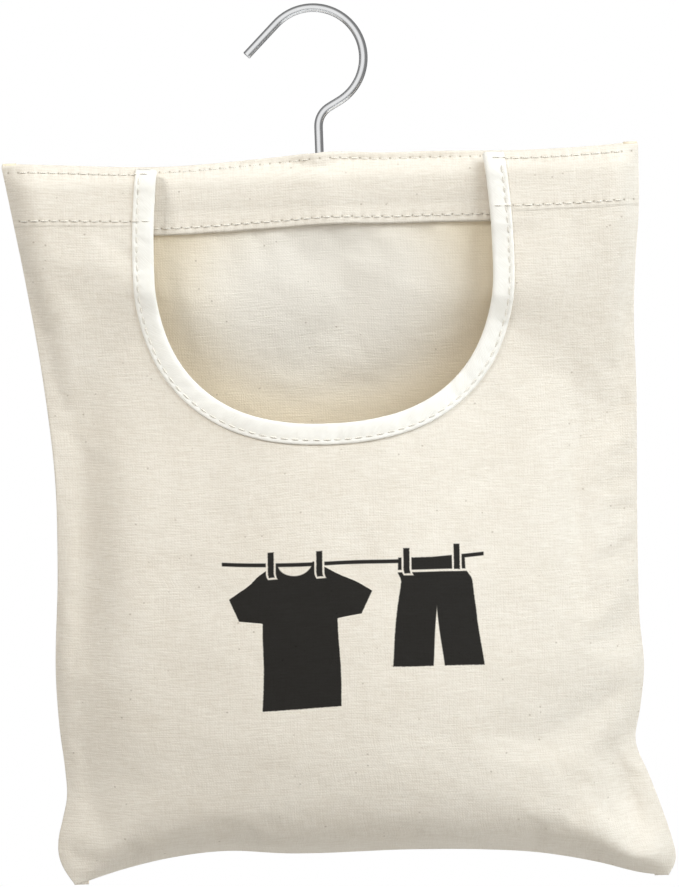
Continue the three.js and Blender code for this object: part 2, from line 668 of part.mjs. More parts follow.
// Place in the crease of a seam where a thread just fits between the two panels, on the way from the
// seam at shares (u0, r0) to the next grid line at shares (u1, r1).
function inCrease(u0, r0, u1, r1) {
  const reach = Math.hypot(acrossAt(u1, r1) - acrossAt(u0, r0), depthAt(u1, r1) - depthAt(u0, r0));
  const [front, back] = [frontInner(u1, r1), backInner(u1, r1)];
  const slope = ((front + back) / 2 - SEAM) / reach;
  const room = (THREAD / 2 + 2 * GAP) * Math.hypot(1, slope);
  const t = clamp((room - SEAM) / slope / reach);
  const x = lerp(acrossAt(u0, r0), acrossAt(u1, r1), t);
  return [x, (lerp(SEAM, back, t) - lerp(SEAM, front, t)) / 2, -lerp(depthAt(u0, r0), depthAt(u1, r1), t)];
}

function sideSeam(side) {
  const [edge, next] = side < 0 ? [0, COLUMNS[1]] : [1, COLUMNS[COLUMNS.length - 2]];
  const [from, to] = [SEAM_END / BAG_HEIGHT, 1 - SEAM_END / BAG_HEIGHT];
  return thread(FRONT_ROWS.filter((r) => r > from && r < to).map((r) => inCrease(edge, r, next, r)));
}

function bottomSeam() {
  const margin = BOTTOM_SEAM_END / BAG_WIDTH;
  const next = FRONT_ROWS[FRONT_ROWS.length - 2];
  return thread(COLUMNS.filter((u) => u > margin && u < 1 - margin).map((u) => inCrease(u, 1, u, next)));
}

// Hook, its fixings and the bar, with the same origin as the bag

class PlanarArc extends THREE.Curve {
  constructor(x, z, radius, from, to) {
    super();
    Object.assign(this, { x, z, radius, from, to });
  }
  getPoint(t, target = new THREE.Vector3()) {
    const a = radians(lerp(this.from, this.to, t));
    return target.set(this.x + this.radius * Math.cos(a), 0, this.z + this.radius * Math.sin(a));
  }
}

const BAR_BOTTOM = -BAR_TOP_DEPTH - BAR_HEIGHT;
const POCKET_TOP = BAR_BOTTOM + POCKET_DEPTH;
const WASHER_TOP = POCKET_TOP - GAP;
const NUT_TOP = WASHER_TOP - WASHER_THICKNESS - GAP;
const SHANK_END = NUT_TOP - PUSH_NUT_HEIGHT - SHANK_TAIL;

function hook() {
  const turn = radians(NECK_TURN);
  const crownX = -SHANK_OFFSET;
  const crownZ = CROWN_RISE - (CROWN_RADIUS - WIRE_RADIUS);
  const joinX = crownX + CROWN_RADIUS * Math.cos(turn);
  const joinZ = crownZ - CROWN_RADIUS * Math.sin(turn);
  const run = Math.max(GAP, (joinX - NECK_RADIUS * (1 - Math.cos(turn))) / Math.sin(turn));
  const neckZ = joinZ - run * Math.cos(turn) - NECK_RADIUS * Math.sin(turn);
  const tipTurn = 90 + TIP_SLOPE;
  const crown = new PlanarArc(crownX, crownZ, CROWN_RADIUS, -NECK_TURN, tipTurn);
  const neck = new PlanarArc(NECK_RADIUS, neckZ, NECK_RADIUS, 180, 180 - NECK_TURN);
  const tipStart = crown.getPoint(1);
  const slope = radians(TIP_SLOPE);
  const tip = new THREE.Vector3(-Math.cos(slope), 0, -Math.sin(slope));
  tip.multiplyScalar(TIP_LENGTH).add(tipStart);
  const path = new THREE.CurvePath();
  path.add(new THREE.LineCurve3(new THREE.Vector3(0, 0, SHANK_END), neck.getPoint(0)));
  path.add(neck);
  path.add(new THREE.LineCurve3(neck.getPoint(1), crown.getPoint(0)));
  path.add(crown);
  path.add(new THREE.LineCurve3(tipStart, tip));
  const seat = -BAR_TOP_DEPTH + GAP;
  const collar = turned(0, COLLAR_DIAMETER / 2, seat, seat + COLLAR_HEIGHT, COLLAR_SIDES);
  return shaped(solid(tube(path, WIRE_RADIUS, WIRE_SIDES, WIRE_STEPS)).add(solid(collar)));
}

function hangerBar() {
  const low = BAR_BOTTOM + BAR_EDGE_ROUNDING;
  const high = -BAR_TOP_DEPTH - BAR_EDGE_ROUNDING;
  const inset = Math.max(leftInset(-BAR_BOTTOM), rightInset(-BAR_BOTTOM)) + BAR_END_MARGIN;
  const half = BAG_WIDTH / 2 - inset - BAR_EDGE_ROUNDING;
  const corner = Math.min(BAR_END_ROUNDING, (high - low - GAP) / 2);
  const shape = new THREE.Shape();
  shape.moveTo(-half + corner, low);
  shape.lineTo(half - corner, low);
  shape.absarc(half - corner, low + corner, corner, -Math.PI / 2, 0, false);
  shape.absarc(half - corner, high - corner, corner, 0, Math.PI / 2, false);
  shape.absarc(-half + corner, high - corner, corner, Math.PI / 2, Math.PI, false);
  shape.absarc(-half + corner, low + corner, corner, Math.PI, 1.5 * Math.PI, false);
  const flat = BAR_THICKNESS - 2 * BAR_EDGE_ROUNDING;
  const g = new THREE.ExtrudeGeometry(shape, {
    depth: flat,
    bevelEnabled: true,
    bevelThickness: BAR_EDGE_ROUNDING,
    bevelSize: BAR_EDGE_ROUNDING,
    bevelSegments: ROUNDING_STEPS,
    curveSegments: ROUNDING_STEPS,
  });
  g.rotateX(Math.PI / 2);
  g.translate(0, flat / 2, 0);
  const under = BAR_BOTTOM - CUT_OVER;
  const bore = turned(0, WIRE_RADIUS + BORE_CLEARANCE, under, -BAR_TOP_DEPTH + CUT_OVER, BORE_SIDES);
  const pocket = turned(0, POCKET_DIAMETER / 2, under, POCKET_TOP, RING_SIDES);
  return shaped(solid(g).subtract(solid(bore)).subtract(solid(pocket)));
}

// A ring on the shank that hangs down from the given height.
function ringUnder(diameter, top, height) {
  return turned(WIRE_RADIUS + GAP, diameter / 2, top - height, top, RING_SIDES);
}

// Assembly

const CANVAS = { color: 0xeee6d9, roughness: 0.95, metalness: 0 };
const TAPE = { color: 0xf8f4ea, roughness: 0.9, metalness: 0 };
const COTTON = { color: 0xe6ddcc, roughness: 0.9, metalness: 0 };
const CHROME = { color: 0xcfd1d2, roughness: 0.12, metalness: 1 };
const ZINC = { color: 0xb5b8ba, roughness: 0.35, metalness: 1 };
const WOOD = { color: 0xcfa673, roughness: 0.7, metalness: 0 };

const part = new THREE.Group();
part.name = "peg_bag";

function place(name, geometry, finish) {
  const g = closed(geometry);
  g.translate(SHANK_OFFSET, 0, -CROWN_RISE);
  g.computeVertexNormals();
  const mesh = new THREE.Mesh(g, new THREE.MeshStandardMaterial(finish));
  mesh.name = name;
  part.add(mesh);
}

place("hook", hook(), CHROME);
place("hook_washer", ringUnder(WASHER_DIAMETER, WASHER_TOP, WASHER_THICKNESS), ZINC);
place("hook_push_nut", ringUnder(PUSH_NUT_DIAMETER, NUT_TOP, PUSH_NUT_HEIGHT), ZINC);
place("hanger_bar", hangerBar(), WOOD);
place("back_panel", backPanel(), CANVAS);
place("front_panel", frontPanel(), CANVAS);
place("opening_binding", openingBinding(), TAPE);
const casingRow = BAG_WIDTH / 2 - CASING_ROW_END;
place("casing_hem_stitch", rowAlong(-casingRow, casingRow, HEM_STITCH_DEPTH, onCasing, LONG_STEP), COTTON);
for (const [name, side] of [["left", -1], ["right", 1]]) {
  const [from, to] = [side * (SLIT_SPREAD + TOP_ROW_START), side * (MOUTH_HALF_WIDTH + TOP_ROW_LAP)];
  place(`casing_top_stitch_${name}`, rowAlong(from, to, TOP_STITCH_INSET, onCasing, TOP_STEP), COTTON);
  place(`${name}_shoulder_top_stitch`, shoulderRow(side, SHOULDER_DROP + TOP_STITCH_INSET), COTTON);
  place(`${name}_shoulder_hem_stitch`, shoulderRow(side, HEM_STITCH_DEPTH), COTTON);
  place(`${name}_side_seam`, sideSeam(side), COTTON);
}
place("bottom_seam", bottomSeam(), COTTON);
place("binding_stitch", bindingStitch(), COTTON);

export default part;
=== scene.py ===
# Canvas peg bag on a hanger bar with a swivelling wire hook.
import math

import bpy
import numpy as np
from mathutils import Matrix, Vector


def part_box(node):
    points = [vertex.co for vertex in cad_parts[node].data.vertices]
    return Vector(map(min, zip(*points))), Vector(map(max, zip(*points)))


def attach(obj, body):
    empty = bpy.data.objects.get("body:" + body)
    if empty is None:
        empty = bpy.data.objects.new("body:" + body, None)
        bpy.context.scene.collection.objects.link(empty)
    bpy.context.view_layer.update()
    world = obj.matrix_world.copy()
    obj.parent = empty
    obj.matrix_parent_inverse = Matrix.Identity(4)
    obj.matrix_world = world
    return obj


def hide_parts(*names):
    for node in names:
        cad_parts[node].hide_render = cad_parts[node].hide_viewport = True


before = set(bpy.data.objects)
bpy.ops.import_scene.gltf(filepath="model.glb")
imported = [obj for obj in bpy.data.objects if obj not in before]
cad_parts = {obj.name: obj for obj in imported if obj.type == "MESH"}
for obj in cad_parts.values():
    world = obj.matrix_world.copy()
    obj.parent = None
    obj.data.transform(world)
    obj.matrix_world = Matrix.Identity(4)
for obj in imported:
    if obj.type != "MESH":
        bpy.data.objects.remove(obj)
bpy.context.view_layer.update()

# Lengths are millimetres from the middle of the bag's top edge, at the shank: x to the right, y to the back
# and depth down. to_row() turns them into metres in the shared frame.
MM = 0.001
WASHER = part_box("hook_washer")
SHANK_X = (WASHER[0].x + WASHER[1].x) / 2
BAG_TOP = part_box("back_panel")[1].z

# Outline as (depth, x) down each side, (share across, depth) along the bottom, (x, rise) along the top
LEFT_SIDE = (
    (0, -140), (42, -132.7), (95, -125), (140, -121.2), (180, -121.6), (228, -124), (250, -123),
    (266, -121.4), (279, -121.1), (287, -123), (298, -125.6), (304, -125.5), (311, -122.8), (317, -118.6),
)
RIGHT_SIDE = (
    (0, 140), (32, 139), (52, 137), (72, 135.6), (111, 135.4), (130, 134.8), (185, 133.3), (210, 133.2),
    (229, 134.4), (249, 131.8), (262, 129.4), (278, 135), (292, 139.8), (307, 144.2), (313, 145.4),
    (317, 144.8), (322, 141.5),
)
BOTTOM_EDGE = (
    (0, 317), (0.075, 311.2), (0.15, 307), (0.255, 304.4), (0.355, 306.4), (0.58, 306.7),
    (0.685, 307.7), (0.785, 310), (0.885, 315.2), (0.96, 320.6), (1, 322),
)
TOP_EDGE = (
    (-140, 0.8), (-119, -0.5), (-67, -3.1), (-24, -1), (6, 0.9), (30, -0.3), (44, -0.3), (97, -1.3),
    (123, -0.5), (140, 0.7),
)
BAG_HEIGHT = 306.5
BAG_HALF = 140
BOTTOM_POWER = 4  # the bottom edge's shape sets in late down the bag
TOP_FADE = 70  # the top edge's waves run out over this

# Cloth
CLOTH = 0.9
SEAM_TURN = 0.47  # radius of the cloth's turn into a seam
SEAM_ROOM = SEAM_TURN + CLOTH / 2  # from the outline to where the turn starts
ALLOWANCE = 6  # seam allowance inside the bag
LAYER = 0.62  # half the distance between the middles of two layers that lie on each other
SEAM_EASE = 25  # the back leaves the casing's flat end over this
HEM_DEPTH = 27.5  # of the shoulders' hems
HEM_TURN = 0.5  # radius of the hem's turned edge
HEM_RETURN = 6.5  # turned under behind the hem's edge
HEM_STITCH = 25.5
CASING_HEM = 31.5  # the casing's hem reaches lower than the shoulders'
CASING_STITCH = 28.7
HELD_DEPTH = CASING_HEM + 2  # the bar and the hems hold the cloth down to here
TOP_STITCH = 3
SHOULDER_DROP = 1.5  # front's top edge below the back's
SHOULDER_FOLD = 0.65  # radius of the fold along a shoulder's top
TOP_FOLD = 1.1  # height of the fold along the back's top
FRONT_BULGE = 32
BACK_BULGE = 22
BELLY_RISE = 1.25
BELLY_TURN = 0.38
BELLY_ROUNDNESS = 0.9

# Soft folds of the front: from (x, depth), to (x, depth), width, height off the front
FRONT_FOLDS = (
    ((-105, 62), (-111, 302), 10, -3.4),  # hollow along the left seam
    ((-88, 80), (-92, 300), 16, 1.8),  # swell beside it
    ((107, 95), (108, 215), 4, -0.8),  # faint crease on the right
    ((99, 292), (156, 326), 12, 4.4),  # swell out to the right ear
    ((117, 260), (132, 316), 8, -4.0),  # hollow above it
    ((62, 304), (118, 312), 5, -2.6),  # hollow before it
    ((-96, 316), (-89, 296), 3, -1.6),  # tucks along the bottom
    ((-60, 308), (-36, 298), 5, -1.8),
    ((78, 316), (86, 296), 3, -1.6),
)

# Folds run out near the seams, over one part in this many of the width or the height
FOLD_FADE = 24
BOTTOM_FADE = 55

# Casing around the hanger bar
BAR_MIDDLE = 13.5
BAR_UNDER = 20
HEM_FORWARD = 5.2  # the casing's hem hangs plumb, this far before the plane of the side seams
BACK_FORWARD = 4.5  # the back behind it
HEM_BACK = 100  # the back comes back to that plane over this
HEM_CLEAR = 8  # both keep to that plane this near the side seams
HEM_EASE = 26  # and come forward over this
CASING_HALF = 5.9
CASING_SPREAD = 9.7
CASING_ROUNDNESS = 2.5
CASING_END = 14
RIDGE_AT = -3  # soft ridge of the casing under the hook, at the top edge
RIDGE_LEAN = 0.2  # it runs to the right by this per mm down
RIDGE_WIDTH = 9
RIDGE_HEIGHT = 0.8
SHOULDER_RISE = 7  # a shoulder comes forward onto the casing over this
SHOULDER_FALL = 100  # and goes back below the bar over this
HEM_STACK = 4.4  # the front stands off more by this, for the hems behind it
HEM_FALL = 100  # down to this far below them
HEM_SLACK = 1  # below the casing's hem before that starts
SEAM_STACK = 1.45  # the same two at the side seams
SEAM_FALL = 10
SLIT_HALF = 2.6
SLIT_SPREAD = 14
SLIT_PART = 3.2

# Mouth and its binding
MOUTH_HALF = 75
MOUTH_TOP_INSET = 3
MOUTH_WIDEST = 50
MOUTH_ROUND = 70
MOUTH_POWER = 2.35
TAPE_WIDTH = 8.3
TAPE_STITCH = 6.3  # from the mouth's edge
TAPE_TOP = 1.42  # of the tape's face off the middle of the cloth
TAPE_ROW = 1.2  # the same, along its row of stitches
TAPE_FACE = 0.6  # the tape's outer face lies above this
TAPE_OVER = 0.3  # stitches this near the tape lie on it
TAPE_REACH = 5  # from the mouth's edge, to find which way the cloth lies
CUT_EDGE = 1.6  # from the mouth's edge to the cloth's cut edge inside the tape

# Stitches
PITCH = 4.4
STITCH_LENGTH = 3.3
THREAD_RADIUS = 0.29
STITCH_BOW = 1.5  # in thread radii
STITCH_SINK = 0.85  # of a stitch's ends, in thread radii
STITCH_TAPER = 0.3
STITCH_POINTS = 9
THREAD_SIDES = 8

# Grids
COLUMNS = 112
CASING_STEP = 1.8
BODY_ROWS = 112
ROW_ROOM = 0.9  # least distance between rows
HEM_ROWS = 5
TURN_POINTS = 5  # of a half turn, and as many rows as a turned-in edge adds
SHOULDER_POINTS = 6
FOLD_POINTS = 7
FLAT_EASE = 60  # places on the flat cloth go over to arc lengths over this
NORMAL_REACH = 1.5  # each way, to find how the front faces
BATCH = 4000


def through(keys):
    """A smooth curve through (place, value) pairs, as a function of an array."""
    at, value = np.array(keys, float).T
    slope = np.gradient(value, at)

    def curve(t):
        t = np.clip(t, at[0], at[-1])
        i = np.clip(np.searchsorted(at, t, side="right") - 1, 0, len(at) - 2)
        span = at[i + 1] - at[i]
        s = (t - at[i]) / span
        low = (1 + 2 * s) * (1 - s) ** 2 * value[i] + s * (1 - s) ** 2 * span * slope[i]
        high = s * s * (3 - 2 * s) * value[i + 1] + s * s * (s - 1) * span * slope[i + 1]
        return low + high

    return curve


def smooth(t):
    t = np.clip(t, 0, 1)
    return t * t * (3 - 2 * t)


def unit(v):
    return v / np.maximum(np.linalg.norm(v, axis=-1, keepdims=True), 1e-9)


left_side = through(LEFT_SIDE)
right_side = through(RIGHT_SIDE)
bottom_edge = through(BOTTOM_EDGE)
top_edge = through(TOP_EDGE)


def to_row(points):
    points = np.asarray(points, float)
    return points * MM + np.array((SHANK_X, 0, BAG_TOP))


# Places on the panels, by share u across and share r down

def bottom_shift(u, r):
    return (bottom_edge(u) - SEAM_ROOM - BAG_HEIGHT) * r ** BOTTOM_POWER


def depth_at(u, r):
    return r * BAG_HEIGHT + bottom_shift(u, r)


def sides_at(r):
    return left_side(depth_at(0, r)) + SEAM_ROOM, right_side(depth_at(1, r)) - SEAM_ROOM


def across_at(u, r):
    left, right = sides_at(r)
    return left + (right - left) * u


def shares(x, depth):
    r = depth / BAG_HEIGHT
    u = np.full_like(r, 0.5)
    for _ in range(8):
        left, right = sides_at(r)
        u = np.clip((x - left) / (right - left), 0, 1)
        r = (depth - bottom_shift(u, r)) / BAG_HEIGHT
    return u, r


def top_rise(x, depth):
    """How far the wavy top edge lifts the cloth at a nominal depth."""
    return top_edge(x) * (1 - smooth(depth / TOP_FADE))


# Cloth surfaces, as distances from the plane of the side seams

def pillow(u, r, start):
    v = np.clip((r * BAG_HEIGHT - start) / (BAG_HEIGHT - start), 0, 1)
    peak = BELLY_RISE / (BELLY_RISE + BELLY_TURN)
    down = (v / peak) ** BELLY_RISE * ((1 - v) / (1 - peak)) ** BELLY_TURN
    return down * (4 * u * (1 - u)) ** BELLY_ROUNDNESS


def towards_seam(x, r):
    left, right = sides_at(r)
    room = np.clip(np.minimum(x - left, right - x) / CASING_END, 0, 1)
    return 1 - (1 - room) ** CASING_ROUNDNESS


def clear_of_seam(x, r):
    """0 where the seam allowances lie, and 1 well inside them."""
    left, right = sides_at(r)
    return smooth((np.minimum(x - left, right - x) - HEM_CLEAR) / HEM_EASE)


def fullness(depth):
    """How full the casing is around the bar, from 0 to 1."""
    t = np.abs((depth - BAR_MIDDLE) / CASING_SPREAD)
    return np.maximum(0, 1 - t ** CASING_ROUNDNESS)


def parted(x, depth):
    """Room that the shank and its collar need, each way."""
    fade = 1 - smooth((depth - BAR_MIDDLE) / (CASING_STITCH - BAR_MIDDLE))
    return SLIT_PART * np.maximum(0, 1 - (x / SLIT_SPREAD) ** 2) ** 2 * fade


def hook_ridge(x, depth):
    """How far the casing's front layer stands out under the hook."""
    away = (x - RIDGE_AT - RIDGE_LEAN * depth) / RIDGE_WIDTH
    return RIDGE_HEIGHT * np.exp(-away ** 2) * smooth(depth / BAR_MIDDLE)


def casing(x, depth):
    """Room behind the casing's front layer."""
    r = depth / BAG_HEIGHT
    forward = np.where(depth < BAR_MIDDLE, 0, HEM_FORWARD) * clear_of_seam(x, r)
    bar = forward + (CASING_HALF * towards_seam(x, r) - forward) * fullness(depth)
    return np.maximum(bar, parted(x, depth)) + hook_ridge(x, depth)


def back_room(x, depth):
    """Room before the back, which comes forward to the hem under the bar."""
    r = depth / BAG_HEIGHT
    under = smooth((depth - BAR_UNDER) / (CASING_STITCH - BAR_UNDER))
    forward = BACK_FORWARD * under * (1 - smooth((depth - CASING_HEM) / HEM_BACK)) * clear_of_seam(x, r)
    bar = CASING_HALF * fullness(depth) * towards_seam(x, r) - forward
    return np.where(depth < BAR_UNDER, np.maximum(bar, parted(x, depth)), bar)


def casing_front(x, depth):
    """Middle of the casing's front layer, as a distance in front of the seams' plane."""
    return LAYER + casing(x, depth - top_rise(x, depth))


def back_surface(u, r):
    x, depth = across_at(u, r), depth_at(u, r)
    room = back_room(x, depth - top_rise(x, depth))
    seam = 2 * SEAM_TURN * smooth((depth - CASING_HEM) / SEAM_EASE)
    return LAYER + room + seam + BACK_BULGE * pillow(u, r, CASING_HEM)


def folds(x, depth):
    """How far the front's soft folds stand off it."""
    total = 0 * x
    for start, end, width, height in FRONT_FOLDS:
        start, end = np.array(start, float), np.array(end, float)
        run = end - start
        share = ((x - start[0]) * run[0] + (depth - start[1]) * run[1]) / (run @ run)
        near = np.clip(share, 0, 1)
        away = np.hypot(x - start[0] - near * run[0], depth - start[1] - near * run[1])
        total = total + height * np.sin(math.pi * near) * np.exp(-(away / width) ** 2)
    return total


def front_surface(u, r):
    x, depth = across_at(u, r), depth_at(u, r)
    edge = towards_seam(x, r)
    depth = depth - top_rise(x, depth)
    full = casing(x, SHOULDER_RISE + 0 * depth) * edge
    over = np.maximum(casing(x, depth), full * smooth(depth / SHOULDER_RISE))
    under = CASING_HALF * edge * (1 - smooth((depth - BAR_MIDDLE) / SHOULDER_FALL))
    held = np.where(depth < BAR_MIDDLE, over, under)
    stack = SEAM_STACK + (HEM_STACK - SEAM_STACK) * edge
    fall = SEAM_FALL + (HEM_FALL - SEAM_FALL) * edge
    hem = stack * (1 - smooth((depth - CASING_HEM - HEM_SLACK) / fall))
    edges = smooth(np.minimum(u, 1 - u) * FOLD_FADE) * smooth((1 - r) * BOTTOM_FADE)
    soft = folds(x, depth_at(u, r)) * edges
    return 3 * SEAM_TURN + held + hem + FRONT_BULGE * pillow(u, r, BAR_MIDDLE) + soft


# Mouth edge as an open line of points with the direction out into the cloth

MOUTH_STEP = 0.8
CURVE_POINTS = 160


def lengths_along(line):
    return np.concatenate([[0], np.cumsum(np.linalg.norm(np.diff(line, axis=0), axis=1))])


def points_along(line, along, s):
    """Points at the lengths s along a line."""
    return np.stack([np.interp(s, along, part) for part in line.T], -1)


def eased(line, times):
    """The line with its corners rounded off a little."""
    for _ in range(times):
        line[1:-1] = (line[:-2] + 2 * line[1:-1] + line[2:]) / 4
    return line


def mouth_line():
    """(length along the mouth's edge, place, way out into the cloth) for evenly spaced points."""
    depth = np.arange(SHOULDER_DROP, MOUTH_WIDEST, MOUTH_STEP)
    sides = MOUTH_HALF - MOUTH_TOP_INSET * ((MOUTH_WIDEST - depth) / MOUTH_WIDEST) ** 2
    a = np.linspace(0, math.pi / 2, CURVE_POINTS)
    power = 2 / MOUTH_POWER
    x = np.concatenate([sides, MOUTH_HALF * np.maximum(np.cos(a), 0) ** power])
    d = np.concatenate([depth, MOUTH_WIDEST + MOUTH_ROUND * np.sin(a) ** power])
    x = np.concatenate([-x, x[::-1][1:]])
    d = np.concatenate([d, d[::-1][1:]])
    line = np.stack([x, d], -1)
    along = lengths_along(line)
    even = np.linspace(0, along[-1], int(along[-1] / MOUTH_STEP) + 1)
    line = eased(points_along(line, along, even), 3)
    way = unit(np.gradient(line, axis=0))
    out = np.stack([-way[:, 1], way[:, 0]], -1)
    return even, line, out


MOUTH_ALONG, MOUTH_EDGE, MOUTH_OUT = mouth_line()


def mouth_offset(x, depth):
    """Distance of places from the mouth's edge, positive in the cloth."""
    places = np.stack([np.ravel(x), np.ravel(depth)], -1)
    result = np.empty(len(places))
    for start in range(0, len(places), BATCH):
        part = places[start:start + BATCH]
        gap = part[:, None, :] - MOUTH_EDGE[None]
        near = np.argmin((gap ** 2).sum(-1), axis=1)
        offset = gap[np.arange(len(part)), near]
        side = np.sign((offset * MOUTH_OUT[near]).sum(-1))
        result[start:start + BATCH] = side * np.linalg.norm(offset, axis=1)
    return result.reshape(np.shape(x))


# Grids of the two panels: rows run down along the cloth, columns run across

U = np.linspace(0, 1, COLUMNS + 1)
CASING_DEPTHS = np.linspace(0, HELD_DEPTH, int(HELD_DEPTH / CASING_STEP) + 1)
BODY_DEPTHS = np.linspace(CASING_DEPTHS[-1], BAG_HEIGHT, BODY_ROWS + 1)[1:]


def panel_row(depth, surface, sign, lift=0.0):
    """A row of points at a nominal depth on a panel's surface, moved lift behind it."""
    r = np.full(len(U), depth / BAG_HEIGHT)
    x, z = across_at(U, r), depth_at(U, r)
    return np.stack([x, sign * (surface(U, r) - lift), top_rise(x, z) - z], -1)


def front_rows():
    """(rows, flat depths, index of the first row below the shoulders' fold)"""
    start = SHOULDER_DROP + SHOULDER_FOLD
    rows, flat = [], []
    for depth in np.arange(HEM_DEPTH, start + ROW_ROOM, -CASING_STEP):
        rows.append(panel_row(depth, front_surface, -1, 2 * SHOULDER_FOLD))
        flat.append(2 * SHOULDER_DROP - depth)
    for turn in np.linspace(math.pi, 0, SHOULDER_POINTS)[:-1]:
        row = panel_row(start, front_surface, -1, SHOULDER_FOLD * (1 - math.cos(turn)))
        row[:, 2] += SHOULDER_FOLD * math.sin(turn)
        rows.append(row)
        flat.append(start - SHOULDER_FOLD * turn)
    first = len(rows)
    for depth in np.concatenate([[start], CASING_DEPTHS[CASING_DEPTHS > start + ROW_ROOM], BODY_DEPTHS]):
        rows.append(panel_row(depth, front_surface, -1))
        flat.append(depth)
    return np.array(rows), np.array(flat), first


def back_rows():
    """(rows, flat depths, index of the first row below the top fold, range of the fold's rows)"""
    rows, flat = [], []

    def hem_row(depth, behind):
        r = np.full(len(U), depth / BAG_HEIGHT)
        x = across_at(U, r)
        y = behind - casing_front(x, depth + 0 * x)
        rows.append(np.stack([x, y, top_rise(x, depth + 0 * x) - depth], -1))

    for depth in np.linspace(CASING_HEM - HEM_RETURN, CASING_HEM - HEM_TURN, HEM_ROWS):
        hem_row(depth, 2 * HEM_TURN)
        flat.append(depth - 2 * CASING_HEM)
    for turn in np.linspace(0, math.pi, TURN_POINTS)[1:-1]:
        hem_row(CASING_HEM - HEM_TURN + HEM_TURN * math.sin(turn), HEM_TURN * (1 + math.cos(turn)))
        flat.append(-CASING_HEM)
    for depth in np.arange(CASING_HEM - HEM_TURN, TOP_FOLD + ROW_ROOM, -CASING_STEP / 1.5):
        hem_row(depth, 0)
        flat.append(-depth)
    fold = len(rows)
    for turn in np.linspace(0, math.pi, FOLD_POINTS):
        r = np.full(len(U), TOP_FOLD / BAG_HEIGHT)
        x = across_at(U, r)
        half = casing_front(x, TOP_FOLD + 0 * x)
        z = -TOP_FOLD + (TOP_FOLD - CLOTH / 2) * math.sin(turn) + top_rise(x, 0 * x)
        rows.append(np.stack([x, -half * math.cos(turn), z], -1))
        flat.append(-TOP_FOLD * math.cos(turn))
    first = len(rows)
    for depth in np.concatenate([CASING_DEPTHS[CASING_DEPTHS > TOP_FOLD + ROW_ROOM], BODY_DEPTHS]):
        rows.append(panel_row(depth, back_surface, 1))
        flat.append(depth)
    return np.array(rows), np.array(flat), first, (fold, first)


def flat_places(rows, flat):
    """Where each grid point lies on the flat cloth: x along the casing, arc lengths below it."""
    steps = np.linalg.norm(np.diff(rows, axis=1), axis=-1)
    arc = np.concatenate([np.zeros((len(rows), 1)), np.cumsum(steps, axis=1)], axis=1)
    middle = np.argmin(np.abs(rows[:, :, 0]), axis=1)
    arc -= arc[np.arange(len(rows)), middle][:, None]
    blend = smooth((flat - CASING_HEM) / FLAT_EASE)[:, None]
    x = rows[:, :, 0] * (1 - blend) + arc * blend
    down = np.linalg.norm(np.diff(rows, axis=0), axis=-1)
    y = np.repeat(flat[:, None], rows.shape[1], axis=1)
    for j in range(1, len(rows)):
        if flat[j] > HELD_DEPTH:
            y[j] = y[j - 1] + down[j - 1]
    return np.stack([x, y], -1)


def turned_in(rows, places, sign, first):
    """Adds the turn and the allowance along the side seams and the bottom seam."""
    half_turn = np.linspace(0, math.pi, TURN_POINTS)[1:]
    inward = np.concatenate([SEAM_TURN * (1 - np.sin(half_turn)), [ALLOWANCE]])
    towards = np.concatenate([SEAM_TURN * (1 - np.cos(half_turn)), [2 * SEAM_TURN]])
    reach = np.concatenate([SEAM_TURN * half_turn, [SEAM_TURN * math.pi + ALLOWANCE]])

    for side in (0, -1):
        edge, spot = rows[:, side], places[:, side]
        out = 1 if side else -1
        strips, spots = [], []
        for dx, dy, s in zip(inward, towards, reach):
            strip = edge.copy()
            strip[:, 0] += out * (SEAM_TURN - dx)
            strip[first:, 1] -= sign * dy
            strips.append(strip)
            spots.append(spot + np.array((out * s, 0)))
        strips, spots = np.stack(strips, 1), np.stack(spots, 1)
        if side:
            rows = np.concatenate([rows, strips], axis=1)
            places = np.concatenate([places, spots], axis=1)
        else:
            rows = np.concatenate([strips[:, ::-1], rows], axis=1)
            places = np.concatenate([spots[:, ::-1], places], axis=1)
    under, spots = [], []
    for dz, dy, s in zip(inward, towards, reach):
        row = rows[-1].copy()
        row[:, 1] -= sign * np.minimum(dy, 2 * SEAM_TURN)
        row[:, 2] += dz - SEAM_TURN
        under.append(row)
        spots.append(places[-1] + np.array((0, s)))
    return np.concatenate([rows, under]), np.concatenate([places, spots])


# Cloth simulation

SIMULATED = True
SETTLE_FRAMES = 30
CLOTH_GROWTH = 0.004


def linked(name, data):
    """A new object in the scene."""
    piece = bpy.data.objects.new(name, data)
    bpy.context.scene.collection.objects.link(piece)
    return piece


def kept_faces(keep):
    """(which points of a grid its kept faces use, those faces by their points' numbers among these)"""
    down, across = keep.shape[0] + 1, keep.shape[1] + 1
    j, i = np.nonzero(keep)
    a = j * across + i
    faces = np.stack([a, a + across, a + across + 1, a + 1], -1)
    used = np.zeros(down * across, bool)
    used[faces.ravel()] = True
    return used, (np.cumsum(used) - 1)[faces]


